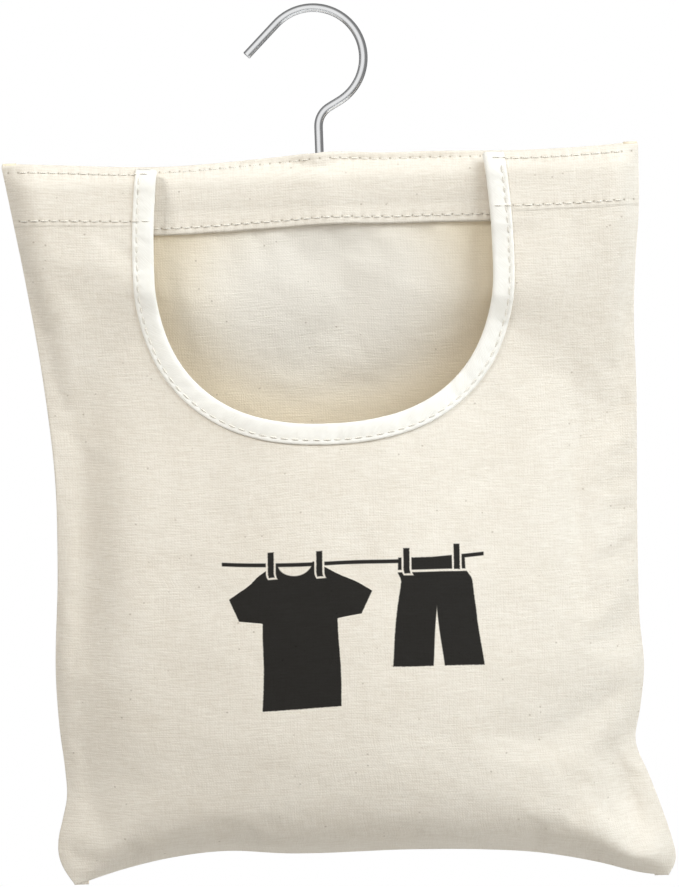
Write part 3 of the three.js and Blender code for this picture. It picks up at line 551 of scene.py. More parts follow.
def settle(rows, keep, held):
    """How far the rows move when the cloth hangs from its held points for some frames."""
    used, faces = kept_faces(keep)
    before = rows.reshape(-1, 3)[used]
    mesh = bpy.data.meshes.new("settling")
    mesh.from_pydata((before * MM).tolist(), [], faces.tolist())
    cloth = linked("settling", mesh)
    group = cloth.vertex_groups.new(name="held")
    group.add(np.nonzero(held.ravel()[used])[0].tolist(), 1.0, "REPLACE")
    modifier = cloth.modifiers.new("cloth", "CLOTH")
    settings = modifier.settings
    settings.quality = 8
    settings.mass = 0.0004
    settings.tension_stiffness = 40
    settings.compression_stiffness = 40
    settings.shear_stiffness = 20
    settings.bending_stiffness = 8
    settings.tension_damping = 25
    settings.compression_damping = 25
    settings.shear_damping = 25
    settings.bending_damping = 2
    settings.air_damping = 4
    settings.shrink_min = -CLOTH_GROWTH
    settings.vertex_group_mass = "held"
    settings.use_pressure = True  # without a force of its own, it keeps the volume under the cloth
    settings.uniform_pressure_force = 0
    modifier.collision_settings.use_collision = False
    modifier.point_cache.frame_end = SETTLE_FRAMES
    scene = bpy.context.scene
    for number in range(1, SETTLE_FRAMES + 1):
        scene.frame_set(number)
    shown = cloth.evaluated_get(bpy.context.evaluated_depsgraph_get())
    after = np.empty(before.size)
    shown.data.vertices.foreach_get("co", after)
    scene.frame_set(1)
    bpy.data.objects.remove(cloth)
    moved = np.full(rows.shape, np.nan)
    moved.reshape(-1, 3)[used] = after.reshape(-1, 3) / MM - before
    return filled(moved)


def filled(field):
    """The field with its unknown places grown in from their neighbours."""
    field = field.copy()
    while np.isnan(field[..., 0]).any():
        total = np.zeros_like(field)
        count = np.zeros(field.shape[:2])
        for axis, step in ((0, 1), (0, -1), (1, 1), (1, -1)):
            near = np.roll(field, step, axis)
            edge = [slice(None), slice(None)]
            edge[axis] = 0 if step > 0 else -1
            near[tuple(edge)] = np.nan
            known = ~np.isnan(near[..., 0])
            total[known] += near[known]
            count[known] += 1
        grow = np.isnan(field[..., 0]) & (count > 0)
        field[grow] = total[grow] / count[grow][:, None]
    return field


# Meshes

def mesh_piece(name, points, faces, uv):
    """A mesh object from millimetre points, faces and each point's (x, y) place on the flat cloth."""
    mesh = bpy.data.meshes.new(name)
    mesh.from_pydata(to_row(points).tolist(), [], [list(map(int, f)) for f in faces])
    layer = mesh.uv_layers.new(name="flat")
    corner = np.empty(len(mesh.loops), int)
    mesh.loops.foreach_get("vertex_index", corner)
    layer.data.foreach_set("uv", (uv[corner] * MM).ravel())
    mesh.polygons.foreach_set("use_smooth", np.ones(len(mesh.polygons), bool))
    mesh.update()
    return linked(name, mesh)


def cloth_piece(name, rows, places, keep):
    used, faces = kept_faces(keep)
    piece = mesh_piece(name, rows.reshape(-1, 3)[used], faces, places.reshape(-1, 2)[used])
    finer = piece.modifiers.new("finer", "SUBSURF")
    finer.levels = finer.render_levels = 1
    thick = piece.modifiers.new("thickness", "SOLIDIFY")
    thick.thickness = CLOTH * MM
    thick.offset = 0
    return piece


def ring_pairs(count, sides, start):
    """Numbers of the neighbours on each ring of a tube, apart from its last ring."""
    for first in range(start, start + (count - 1) * sides, sides):
        for k in range(sides):
            yield first + k, first + (k + 1) % sides


def tube_faces(count, sides, start):
    """Faces of a tube of rings that is closed at both ends."""
    faces = [(a, a + sides, b + sides, b) for a, b in ring_pairs(count, sides, start)]
    last = start + (count - 1) * sides
    return faces + [range(start, start + sides), range(last, last + sides)[::-1]]


def tube_places(along, around):
    """Flat places for the rings of a tube."""
    return np.stack(np.broadcast_arrays(along[:, None], around[None]), -1).reshape(-1, 2)


def girth(radius, sides):
    """Lengths round a ring to each of its points."""
    return np.arange(sides) / sides * 2 * math.pi * radius


def belongs(piece, body, slot, *nodes):
    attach(piece, body)
    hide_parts(*nodes)


# Panels

def hang(rows, flat, first, keep):
    """Lets a panel hang from its seams and its casing, which hold it in place."""
    if SIMULATED:
        held = np.zeros(rows.shape[:2], bool)
        held[:, [0, -1]] = True
        held[-1] = True
        held[flat < HELD_DEPTH] = True
        rows[first:] += settle(rows[first:], keep[first:], held[first:])


def front_panel():
    """(rows, flat depths, first row below the shoulders' fold, kept faces, flat places)"""
    rows, flat, first = front_rows()
    nominal = np.abs(np.stack([depth_at(U, np.full(len(U), abs(f) / BAG_HEIGHT)) for f in flat]))
    offset = mouth_offset(rows[:, :, 0], np.maximum(nominal, SHOULDER_DROP))
    keep = (offset[:-1, :-1] + offset[1:, :-1] + offset[:-1, 1:] + offset[1:, 1:]) / 4 > CUT_EDGE
    places = flat_places(rows, flat)
    hang(rows, flat, first, keep)
    return rows, flat, first, keep, places


def back_panel():
    """(rows, first row below the top fold, kept faces, flat places)"""
    rows, flat, first, fold = back_rows()
    keep = np.ones((len(rows) - 1, COLUMNS), bool)
    middle = (rows[0, :-1, 0] + rows[0, 1:, 0]) / 2
    keep[fold[0] + 1:fold[1] - 2] = np.abs(middle) > SLIT_HALF
    places = flat_places(rows, flat)
    hang(rows, flat, first, keep)
    return rows, first, keep, places


def finished_panel(node, rows, places, first, keep, sign):
    """The cloth of a panel with its turned-in edges."""
    rows, places = turned_in(rows, places, sign, first)
    keep = np.pad(keep, ((0, TURN_POINTS), (TURN_POINTS, TURN_POINTS)), constant_values=True)
    piece = cloth_piece(f"{node}_cloth", rows, places, keep)
    belongs(piece, "bag", "canvas", node)
    return piece


FRONT, front_flat, front_first, front_keep, front_places = front_panel()
BACK, back_first, back_keep, back_places = back_panel()
FRONT_DEPTHS = front_flat[front_first:]
front_piece = finished_panel("front_panel", FRONT, front_places, front_first, front_keep, -1)
back_piece = finished_panel("back_panel", BACK, back_places, back_first, back_keep, 1)


def on_front(x, depth):
    """Points of the settled front at places given as it was cut."""
    u, r = shares(np.asarray(x, float), np.asarray(depth, float))
    grid = FRONT[front_first:]
    j = np.interp(r * BAG_HEIGHT, FRONT_DEPTHS, np.arange(len(FRONT_DEPTHS)))
    i = u * COLUMNS
    j0 = np.clip(j.astype(int), 0, len(grid) - 2)
    i0 = np.clip(i.astype(int), 0, COLUMNS - 1)
    b, a = (j - j0)[..., None], (i - i0)[..., None]
    upper = grid[j0, i0] * (1 - a) + grid[j0, i0 + 1] * a
    lower = grid[j0 + 1, i0] * (1 - a) + grid[j0 + 1, i0 + 1] * a
    return upper * (1 - b) + lower * b


def front_normal(x, depth):
    across = on_front(x + NORMAL_REACH, depth) - on_front(x - NORMAL_REACH, depth)
    above = np.maximum(depth - NORMAL_REACH, SHOULDER_DROP)
    down = on_front(x, depth + NORMAL_REACH) - on_front(x, above)
    return unit(np.cross(down, across))


# Binding

RIPPLE = 0.1  # of the tape at each stitch
RIPPLE_REACH = 2.2
PUCKER = 0.16  # of the tape between the stitches and the edge
PUCKER_LENGTH = 9.5
PUCKER_STRAIGHT = 0.35  # share of it where the mouth's edge is straight
STRAIGHT = 60  # length of that at each end
WANDER = 0.35  # of the puckers along the tape, in their lengths
WANDER_LENGTH = 17
PUCKER_LEAN = 0.08


def tape_profile():
    """(offset from the mouth's edge, height off the middle of the cloth) round the folded tape.

    The second value is the number of points on its outer face, which come first.
    """
    face = [
        (TAPE_WIDTH, 0.62), (TAPE_WIDTH + 0.05, 0.95), (TAPE_WIDTH - 0.25, 1.3),
        (TAPE_WIDTH - 0.9, TAPE_TOP), (TAPE_STITCH + 0.4, 1.26), (TAPE_STITCH, 1.16),
        (TAPE_STITCH - 0.4, 1.26), (4.6, TAPE_TOP), (2.6, 1.45), (0.9, 1.4), (-0.2, 1.16), (-0.8, 0.7),
        (-1.0, 0.0),
    ]
    lining = [(-0.45, 0.0), (-0.25, 0.4), (0.4, 0.56), (TAPE_STITCH, 0.52)]
    outer = face + [(n, -m) for n, m in face[-2::-1]]
    inner = [(n, -m) for n, m in lining[:0:-1]] + lining
    return np.array(outer + inner), len(outer)


def gathers(along, offset):
    """Small puckers of the tape: a ripple at each stitch, and wider ones where the mouth curves."""
    reach = np.exp(-((offset - TAPE_STITCH) / RIPPLE_REACH) ** 2)
    at_stitch = reach * RIPPLE * np.cos(2 * math.pi * along / PITCH)
    ahead = MOUTH_ALONG[-1] - STRAIGHT - along
    curved = smooth((along - STRAIGHT) / STRAIGHT) * smooth(ahead / STRAIGHT)
    share = PUCKER_STRAIGHT + (1 - PUCKER_STRAIGHT) * curved
    phase = along / PUCKER_LENGTH + WANDER * np.sin(along / WANDER_LENGTH) + PUCKER_LEAN * offset
    edge = np.clip(1 - offset / TAPE_WIDTH, 0, 1)
    return at_stitch + PUCKER * np.sin(2 * math.pi * phase) * share * edge


def tape_frames():
    """Points of the mouth's edge on the settled cloth, with the ways out over it and off its face."""
    spot = on_front(*MOUTH_EDGE.T)
    out = unit(on_front(*(MOUTH_EDGE + TAPE_REACH * MOUTH_OUT).T) - spot)
    way = unit(np.gradient(spot, axis=0))
    out = unit(out - way * (out * way).sum(-1, keepdims=True))
    off = unit(np.cross(out, way))
    off *= np.sign(-off[:, 1:2])
    return spot, out, off


def cap_faces(around, outer, start):
    """Faces that close an end of the folded tape, between its outer and its inner loop."""
    step = (around - outer - 1) / (outer - 1)
    faces = []
    for a in range(outer - 1):
        c, d = (around - 1 - round(k * step) for k in (a + 1, a))
        quad = [start + i for i in (a, a + 1, c, d)]
        faces.append(quad if c != d else quad[:3])
    return faces


def opening_binding():
    profile, outer = tape_profile()
    spot, out, off = tape_frames()
    n, m = profile.T
    cloth = np.stack([on_front(*(MOUTH_EDGE + MOUTH_OUT * k).T) for k in np.maximum(n, 0.0)], 1)
    base = np.where((n > 0)[None, :, None], cloth, spot[:, None] + n[None, :, None] * out[:, None])
    lift = m[None] + np.where(m > TAPE_FACE, gathers(MOUTH_ALONG[:, None], n[None]), 0)
    rings = base + lift[..., None] * off[:, None]
    count, around = rings.shape[:2]
    faces = [(a, b, b + around, a + around) for a, b in ring_pairs(count, around, 0)]
    faces += cap_faces(around, outer, 0)
    faces += [face[::-1] for face in cap_faces(around, outer, (count - 1) * around)]
    places = tube_places(MOUTH_ALONG, lengths_along(profile))
    piece = mesh_piece("opening_binding_tape", rings.reshape(-1, 3), faces, places)
    belongs(piece, "bag", "binding_tape", "opening_binding")
    return piece


binding_piece = opening_binding()


# Stitches

def stitches(place, ends):
    """Points of a row of bent threads. place gives points and normals along the row between its ends."""
    first, last = math.ceil(ends[0] / PITCH), math.floor(ends[1] / PITCH)
    stations = np.linspace(-0.5, 0.5, STITCH_POINTS)
    turns = np.linspace(0, 2 * math.pi, THREAD_SIDES, endpoint=False)
    at = (np.arange(first, last)[:, None] + 0.5) * PITCH + stations * STITCH_LENGTH
    spot, off = (part.reshape(*at.shape, 3) for part in place(at.ravel()))
    way = unit(np.gradient(spot, axis=1))
    across = unit(np.cross(way, off))
    bow = np.sqrt(np.maximum(0, 1 - (2 * stations) ** 2))
    height = THREAD_RADIUS * (STITCH_BOW * bow - STITCH_SINK)
    radius = THREAD_RADIUS * (1 - STITCH_TAPER + STITCH_TAPER * bow)
    centre = spot + off * height[:, None]
    ring = np.cos(turns)[:, None] * across[:, :, None] + np.sin(turns)[:, None] * off[:, :, None]
    return centre[:, :, None] + ring * radius[:, None, None]


def stitch_piece(name, node, rows):
    """One piece for a node's thread, from the points of its stitches."""
    size = STITCH_POINTS * THREAD_SIDES
    points = np.concatenate(rows).reshape(-1, 3)
    count = len(points) // size
    faces = []
    for number in range(count):
        faces += tube_faces(STITCH_POINTS, THREAD_SIDES, number * size)
    along = np.linspace(0, STITCH_LENGTH, STITCH_POINTS)
    places = np.tile(tube_places(along, girth(THREAD_RADIUS, THREAD_SIDES)), (count, 1))
    piece = mesh_piece(name, points, faces, places)
    belongs(piece, "bag", "thread", node)
    return piece


def facing(sign, at):
    """Normals towards the back or the front, for each place of a row."""
    return np.tile((0.0, sign, 0.0), (len(at), 1))


def on_casing(depth, behind):
    """Places on the casing's front layer, or on the back behind it."""
    def place(x):
        d = np.full_like(x, depth)
        if behind:
            y = back_surface(*shares(x, d)) + CLOTH / 2
        else:
            y = -casing_front(x, d) - CLOTH / 2
        return np.stack([x, y, top_rise(x, d) - d], -1), facing(1 if behind else -1, x)
    return place


def casing_stitches(depth, ends):
    return [stitches(on_casing(depth, behind), ends) for behind in (False, True)]


def on_shoulder(depth):
    """Places on a shoulder, and on the tape where the row crosses it."""
    def place(x):
        d = np.full_like(x, depth)
        off = front_normal(x, d)
        height = np.where(mouth_offset(x, d) < TAPE_WIDTH + TAPE_OVER, TAPE_TOP, CLOTH / 2)
        return on_front(x, d) + off * height[:, None], off
    return place


def on_tape(s):
    """Places on the tape along the row that holds it."""
    out = unit(points_along(MOUTH_OUT, MOUTH_ALONG, s))
    x, depth = (points_along(MOUTH_EDGE, MOUTH_ALONG, s) + TAPE_STITCH * out).T
    depth = np.maximum(depth, SHOULDER_DROP + 1)
    off = front_normal(x, depth)
    return on_front(x, depth) + off * TAPE_ROW, off


ROW_END = 133  # rows of the casing run this far each way
SLIT_ROOM = 4  # the top row parts this far each way from the shank
TAPE_END = 3  # the tape's row starts this far from its ends
INNER_END = 0.5  # rows of the shoulders start this far from the mouth's edge
OUTER_END = 4  # and stop this far from the corner
SHOULDER_ROWS = (SHOULDER_DROP + TOP_STITCH, HEM_STITCH)
CASING_ROWS = (TOP_STITCH, CASING_STITCH)
MOUTH_TOP = MOUTH_HALF - MOUTH_TOP_INSET

thread_pieces = [
    stitch_piece(
        "casing_hem_stitches", "casing_hem_stitch", casing_stitches(CASING_STITCH, (-ROW_END, ROW_END)),
    ),
    stitch_piece(
        "binding_stitches", "binding_stitch", [stitches(on_tape, (TAPE_END, MOUTH_ALONG[-1] - TAPE_END))],
    ),
]
for side, sign in (("left", -1), ("right", 1)):
    ends = sorted((sign * SLIT_ROOM, sign * ROW_END))
    thread_pieces.append(stitch_piece(
        f"casing_top_stitches_{side}", f"casing_top_stitch_{side}", casing_stitches(TOP_STITCH, ends),
    ))
    ends = sorted((sign * (MOUTH_TOP + INNER_END), sign * (BAG_HALF - OUTER_END)))
    for row, depth in zip(("top", "hem"), SHOULDER_ROWS):
        thread_pieces.append(stitch_piece(
            f"{side}_shoulder_{row}_stitches", f"{side}_shoulder_{row}_stitch",
            [stitches(on_shoulder(depth), ends)],
        ))

SEAM_START = 60  # depth where the side seams' thread starts
SEAM_STITCH = 2.2  # of a seam's thread from the seam's line into the bag
CORNER_ROWS = 4  # the side seams' thread stops this many rows above the bottom
CORNER_COLUMNS = 8  # and the bottom seam's this many columns from the sides


def seam_stitches(node, rows, columns, inward):
    """Thread on both faces of a seam's allowances. inward is the way into the bag."""
    line = (FRONT[rows, columns] + BACK[rows, columns]) / 2 + SEAM_STITCH * np.array(inward)
    along = lengths_along(line)

    def face(sign):
        def place(s):
            off = facing(sign, s)
            return points_along(line, along, s) + off * (SEAM_TURN + CLOTH / 2), off
        return place

    thread = [stitches(face(sign), (0, along[-1])) for sign in (-1, 1)]
    return stitch_piece(f"{node}_stitches", node, thread)


side_rows = slice(np.argmin(np.abs(front_flat - SEAM_START)) - len(FRONT), -CORNER_ROWS)
bottom_columns = slice(CORNER_COLUMNS, -CORNER_COLUMNS)
thread_pieces += [
    seam_stitches("left_side_seam", side_rows, 0, (1, 0, 0)),
    seam_stitches("right_side_seam", side_rows, -1, (-1, 0, 0)),
    seam_stitches("bottom_seam", -1, bottom_columns, (0, 0, 1)),
]


# Hook

WIRE_RADIUS = 1.9
WIRE_SIDES = 28
WIRE_POINTS = 240
CROWN_RADIUS = 22.1
CROWN_CENTRE = (-1.3, 42.3)
CROWN_POINTS = 200
NECK_RADIUS = 9.7
NECK_TURN = math.radians(61)
NECK_POINTS = 40
TIP_SLOPE = math.radians(45)
TIP_LENGTH = 19
SHANK_END = -19.1
SHANK_BEVEL = 0.3
TIP_BEVEL = ((0.18, 0.1), (0.3, 0.3))  # rings past the tip: how far, and how much thinner
COLLAR = (2.8, -6.7, -5.3)  # radius, bottom and top
COLLAR_BEVEL = 0.2


def arc(centre, radius, start, end, count):
    a = np.linspace(start, end, count)
    return np.array(centre) + radius * np.stack([np.cos(a), np.sin(a)], -1)


def wire_line():
    """Middle of the wire from the shank's end to the tip, evenly spaced, in the plane of the bag."""
    crown = arc(CROWN_CENTRE, CROWN_RADIUS, -NECK_TURN, math.pi / 2 + TIP_SLOPE, CROWN_POINTS)
    run = (crown[0, 0] - NECK_RADIUS * (1 - math.cos(NECK_TURN))) / math.sin(NECK_TURN)
    neck_z = crown[0, 1] - run * math.cos(NECK_TURN) - NECK_RADIUS * math.sin(NECK_TURN)
    neck = arc((NECK_RADIUS, neck_z), NECK_RADIUS, math.pi, math.pi - NECK_TURN, NECK_POINTS)
    tip = crown[-1] - TIP_LENGTH * np.array((math.cos(TIP_SLOPE), math.sin(TIP_SLOPE)))
    line = np.array([(0, SHANK_END), *neck, *crown, tip])
    along = lengths_along(line)
    even = np.linspace(0, along[-1], WIRE_POINTS)
    return even, eased(points_along(line, along, even), 4)


def lathe_rings(line, radii):
    """Rings round a line in the plane of the bag."""
    way = unit(np.gradient(line, axis=0))
    across = np.stack([way[:, 1], -way[:, 0]], -1)
    a = np.linspace(0, 2 * math.pi, WIRE_SIDES, endpoint=False)
    x = line[:, None, 0] + radii[:, None] * np.cos(a) * across[:, None, 0]
    z = line[:, None, 1] + radii[:, None] * np.cos(a) * across[:, None, 1]
    y = radii[:, None] * np.sin(a) + 0 * x
    return np.stack([x, y, z], -1)


def hook_wire():
    along, line = wire_line()
    past, thinner = np.array(TIP_BEVEL).T
    foot = line[0] + SHANK_BEVEL * unit(line[0] - line[1])
    tip = line[-1] + past[:, None] * unit(line[-1] - line[-2])
    radii = WIRE_RADIUS - np.concatenate([[SHANK_BEVEL], np.zeros(len(line)), thinner])
    wire = lathe_rings(np.concatenate([[foot], line, tip]), radii)
    along = np.concatenate([[0], along, along[-1:], along[-1:]])

    radius, bottom, top = COLLAR
    heights = np.array((bottom, bottom + COLLAR_BEVEL, top - COLLAR_BEVEL, top))
    radii = radius - COLLAR_BEVEL * np.array((1, 0, 0, 1))
    collar = lathe_rings(np.stack([0 * heights, heights], -1), radii)

    faces = tube_faces(len(wire), WIRE_SIDES, 0)
    faces += tube_faces(len(collar), WIRE_SIDES, len(wire) * WIRE_SIDES)
    points = np.concatenate([wire, collar]).reshape(-1, 3)
    places = tube_places(np.concatenate([along, heights]), girth(WIRE_RADIUS, WIRE_SIDES))
    piece = mesh_piece("hook_wire", points, faces, places)
    belongs(piece, "hook", "chrome_wire", "hook")
    return piece


hook_piece = hook_wire()


# Materials

class Wire:
    """An output of a material's nodes. Arithmetic on it adds Math nodes."""

    def __init__(self, tree, socket):
        self.tree = tree
        self.socket = socket

    def math(self, operation, *others):
        node = self.tree.nodes.new("ShaderNodeMath")
        node.operation = operation
        for slot, value in zip(node.inputs, (self, *others)):
            feed(slot, value)
        return Wire(self.tree, node.outputs["Value"])

    def __add__(self, other):
        return self.math("ADD", other)

    def __sub__(self, other):
        return self.math("SUBTRACT", other)

    def __mul__(self, other):
        return self.math("MULTIPLY", other)

    def __truediv__(self, other):
        return self.math("DIVIDE", other)

    def __neg__(self):
        return self * -1.0

    def __rsub__(self, other):
        return -self + other

    def sine(self, wavelength):
        return (self * (2 * math.pi / wavelength)).math("SINE")

    def cosine(self, wavelength):
        return (self * (2 * math.pi / wavelength)).math("COSINE")

    def absolute(self):
        return self.math("ABSOLUTE")

    def bell(self, width):
        """1 at nothing, falling away over the width each way."""
        t = self / width
        return (-(t * t)).math("EXPONENT")

    def step(self, low, high):
        """0 below low and 1 above high, with a smooth way between them. low may be the greater."""
        start, end = (1.0, 0.0) if low > high else (0.0, 1.0)
        node = node_with(
            self.tree, "MapRange", Value=self, From_Min=min(low, high), From_Max=max(low, high),
            To_Min=start, To_Max=end,
        )
        node.interpolation_type = "SMOOTHSTEP"
        return Wire(self.tree, node.outputs["Result"])


def feed(slot, value):
    """Gives a node's input a number, a colour or an output."""
    if isinstance(value, Wire):
        value.tree.links.new(value.socket, slot)
    else:
        slot.default_value = value


def give(node, **values):
    """Feeds a node's inputs by their names, with underscores for spaces."""
    for name, value in values.items():
        feed(node.inputs[name.replace("_", " ")], value)


def node_with(tree, kind, **values):
    node = tree.nodes.new(f"ShaderNode{kind}")
    give(node, **values)
    return node


def finish(name, roughness, metal=0.0, **values):
    """(material, its nodes, its shader) with the values that are the same all over it."""
    material = bpy.data.materials.new(name)
    material.use_nodes = True
    tree = material.node_tree
    shader = tree.nodes["Principled BSDF"]
    give(shader, Roughness=roughness, Metallic=metal, **values)
    return material, tree, shader


def parts_of(tree, vector):
    node = tree.nodes.new("ShaderNodeSeparateXYZ")
    tree.links.new(vector, node.inputs["Vector"])
    return [Wire(tree, node.outputs[axis]) for axis in "XYZ"]


def flat_mm(tree):
    """Places on the flat cloth, in millimetres."""
    node = tree.nodes.new("ShaderNodeUVMap")
    node.uv_map = "flat"
    return [part * (1 / MM) for part in parts_of(tree, node.outputs["UV"])[:2]]


def object_mm(tree):
    """Places in the shared frame, in millimetres."""
    node = tree.nodes.new("ShaderNodeTexCoord")
    return [part * (1 / MM) for part in parts_of(tree, node.outputs["Object"])]


def joined(tree, x, y, z=0.0):
    node = node_with(tree, "CombineXYZ", X=x, Y=y, Z=z)
    return Wire(tree, node.outputs["Vector"])


def noise(tree, x, y, z, detail):
    """Soft noise between 0 and 1, from places counted in the size of its patches."""
    node = node_with(tree, "TexNoise", Scale=1.0, Detail=detail, Vector=joined(tree, x, y, z))
    return Wire(tree, node.outputs["Fac"])


def specks(tree, x, y):
    """(distance to the nearest speck's middle, its own random number), in units of their spacing."""
    node = node_with(tree, "TexVoronoi", Scale=1.0, Vector=joined(tree, x, y))
    parts = node_with(tree, "SeparateColor", Color=Wire(tree, node.outputs["Color"]))
    return Wire(tree, node.outputs["Distance"]), Wire(tree, parts.outputs["Red"])


def blended(tree, share, low, high):
    """A colour between two, each a tuple or an output."""
    node = tree.nodes.new("ShaderNodeMix")
    node.data_type = "RGBA"
    for number, value in ((0, share), (6, low), (7, high)):
        feed(node.inputs[number], (*value, 1) if isinstance(value, tuple) else value)
    return Wire(tree, node.outputs[2])


def raised(tree, shader, height, depth):
    """Bump from a height between 0 and 1 that stands for that many millimetres."""
    node = node_with(tree, "Bump", Strength=1.0, Distance=depth * MM, Height=height)
    give(shader, Normal=Wire(tree, node.outputs["Normal"]))


CANVAS_PALE = (0.935, 0.878, 0.78)
CANVAS_DEEP = (0.74, 0.658, 0.542)
CANVAS_SHINE = 0.15
CANVAS_SHEEN = 0.03
FLECK = (0.30, 0.215, 0.13)
# painted shade in the needle holes
HOLE_PAINTED_SHADE = (0.42, 0.35, 0.26)
INK = (0.004, 0.004, 0.0045)
# Painted light and shade on the inside: paler where light comes in through the mouth, and a painted tan
# shade round that
INSIDE_PAINTED_LIGHT = 0.6
INSIDE_PAINTED_SHADE = (0.885, 0.77, 0.575)
INSIDE_PAINTED_SHADE_SHARE = 0.9  # share of the painted tan shade where the inside doesn't face the mouth
MOUTH_PAINTED_LIGHT = (80, 62, 60)  # painted light on the inside that faces the mouth: half width, middle's depth, half height
WARP_PITCH = 0.62
WEFT_PITCH = 0.7


def canvas(name, sewn_rows, hem, painted_light=0.0, ink=None):
    """Natural cotton canvas, sewn along rows down the flat cloth; painted light makes it paler where it
    faces the mouth, with a painted tan shade round that.
    """
    material, tree, shader = finish(
        name, 0.92, Specular_IOR_Level=CANVAS_SHINE, Sheen_Weight=CANVAS_SHEEN, Sheen_Roughness=0.6,
    )
    x, y = flat_mm(tree)
    weave = x.sine(2 * WARP_PITCH) * y.sine(2 * WEFT_PITCH)
    weft = noise(tree, x / 6.0, y / 0.6, 1.7, 1.0)
    warp = noise(tree, x / 0.55, y / 9.0, 5.1, 1.0)
    grain = noise(tree, x / 0.9, y / 0.8, 9.3, 2.0)
    cloudy = noise(tree, x / 30.0, y / 26.0, 3.3, 2.0)
    tone = weft * 0.46 + warp * 0.26 + grain * 0.34 + cloudy * 0.26 + weave * 0.02 - 0.16
    # painted light: paler where the inside faces the mouth
    across, down = x / MOUTH_PAINTED_LIGHT[0], (y - MOUTH_PAINTED_LIGHT[1]) / MOUTH_PAINTED_LIGHT[2]
    painted_lit = (across * across + down * down).step(1.0, 0.1)
    colour = blended(tree, (tone + painted_lit * painted_light).step(0.0, 1.0), CANVAS_DEEP, CANVAS_PALE)
    # painted shade: tan round the lit patch
    if painted_light:
        colour = blended(tree, (1.0 - painted_lit) * INSIDE_PAINTED_SHADE_SHARE, colour, INSIDE_PAINTED_SHADE)
    distance, chance = specks(tree, x / 6.0, y / 5.0)
    fleck = distance.step(0.115, 0.035) * chance.step(0.45, 0.7) * 0.45
    colour = blended(tree, fleck, colour, FLECK)
    height = weave * 0.06 + weft * 0.65 + warp * 0.45 + grain * 0.3
    for row in sewn_rows:
        away = y.absolute() - row
        hole = x.cosine(PITCH).step(0.8, 0.97) * away.bell(0.42)
        pull = away.bell(2.4) * x.cosine(PITCH)
        # painted shade in the needle holes
        colour = blended(tree, hole * 0.65, colour, HOLE_PAINTED_SHADE)
        height = height - away.bell(0.55) * 0.3 - hole * 1.3 - pull * 0.45
    height = height + y.absolute().step(hem + 0.9, hem - 0.5) * 1.2
    if ink is not None:
        print_ink = ink(tree, x, y, grain)
        colour = blended(tree, print_ink, colour, INK)
        bare = 1.0 - print_ink
        give(shader, Specular_IOR_Level=bare * CANVAS_SHINE, Sheen_Weight=bare * CANVAS_SHEEN)
    give(shader, Base_Color=colour)
    raised(tree, shader, height, 0.22)
    return material


# Print on the front: a shirt and a pair of shorts on a washing line

PRINT_AT = (9, -208)
INK_EDGE = 0.25
INK_UNEVEN = 0.45  # of its edges, from the cloth's grain
INK_COVER = 0.97
LINE_HALF = 57
LINE_HEIGHT = 33  # of the line's ends above the print's middle
LINE_SAG = 3
LINE_WIDTH = 0.85  # each way
PEG_WIDTH = 1.35  # each way
PEG_ABOVE = 5.5
PEG_BELOW = 5.5
PEG_RIM = 0.75  # bare cloth around a peg
SHIRT_AT = -25
SHIRT_HEIGHT = 63
SHIRT_PEGS = 10.5  # each way from the shirt's middle
NECK = (7.4, 5.6)
SHORTS_AT = 34
SHORTS_HEIGHT = 47
SHORTS_PEGS = 11
LEG_GAP = 2.4  # each way, at the hems
LEG_LENGTH = 0.52  # share of the shorts' height
WAISTBAND = (0.865, 0.885)

# Half widths of the garments, each after its share of the height
SHIRT_HALVES = ((0, 17), (0.6, 16.2), (0.625, 26.5), (0.78, 31), (0.955, 13), (1, 8.5))
SHORTS_HALVES = ((0, 20), (0.5, 17.4), (0.9, 14.8), (1, 14.6))


def inked(distance):
    """Ink where a signed distance into a shape is positive."""
    return distance.step(-INK_EDGE, INK_EDGE)


def hanging(tree, x, y, height, halves, edge):
    """(ink of a garment the same on both sides of its middle, share up it), from places above its hem."""
    widest = max(half for share, half in halves)
    share = y / height
    curve = tree.nodes.new("ShaderNodeFloatCurve")
    points = curve.mapping.curves[0].points
    points[0].location = (halves[0][0], halves[0][1] / widest)
    points[1].location = (halves[-1][0], halves[-1][1] / widest)
    for place, half in halves[1:-1]:
        points.new(place, half / widest)
    for point in points:
        point.handle_type = "VECTOR"
    curve.mapping.update()
    give(curve, Value=share)
    half = Wire(tree, curve.outputs["Value"]) * float(widest)
    inside = inked(half - x.absolute() + edge) * inked(y + edge) * inked(height - y + edge)
    return inside, share


def shirt(tree, x, y, edge):
    inside, _ = hanging(tree, x, y, SHIRT_HEIGHT, SHIRT_HALVES, edge)
    dx, dy = x / NECK[0], (y - SHIRT_HEIGHT) / NECK[1]
    neck = inked((dx * dx + dy * dy - 1.0) * (NECK[1] / 2))
    return inside * neck


def shorts(tree, x, y, edge):
    inside, share = hanging(tree, x, y, SHORTS_HEIGHT, SHORTS_HALVES, edge)
    gap = share * (-LEG_GAP / LEG_LENGTH) + LEG_GAP - x.absolute()
    above, below = share - WAISTBAND[0], WAISTBAND[1] - share
    band = inked(above * SHORTS_HEIGHT) * inked(below * SHORTS_HEIGHT)
    return inside * inked(-gap) * (1.0 - band)


def peg_distance(x, y):
    """Distance into a peg that sits on the line, from its middle on the line."""
    upright = (PEG_ABOVE - y).math("MINIMUM", y + PEG_BELOW)
    return (PEG_WIDTH - x.absolute()).math("MINIMUM", upright)


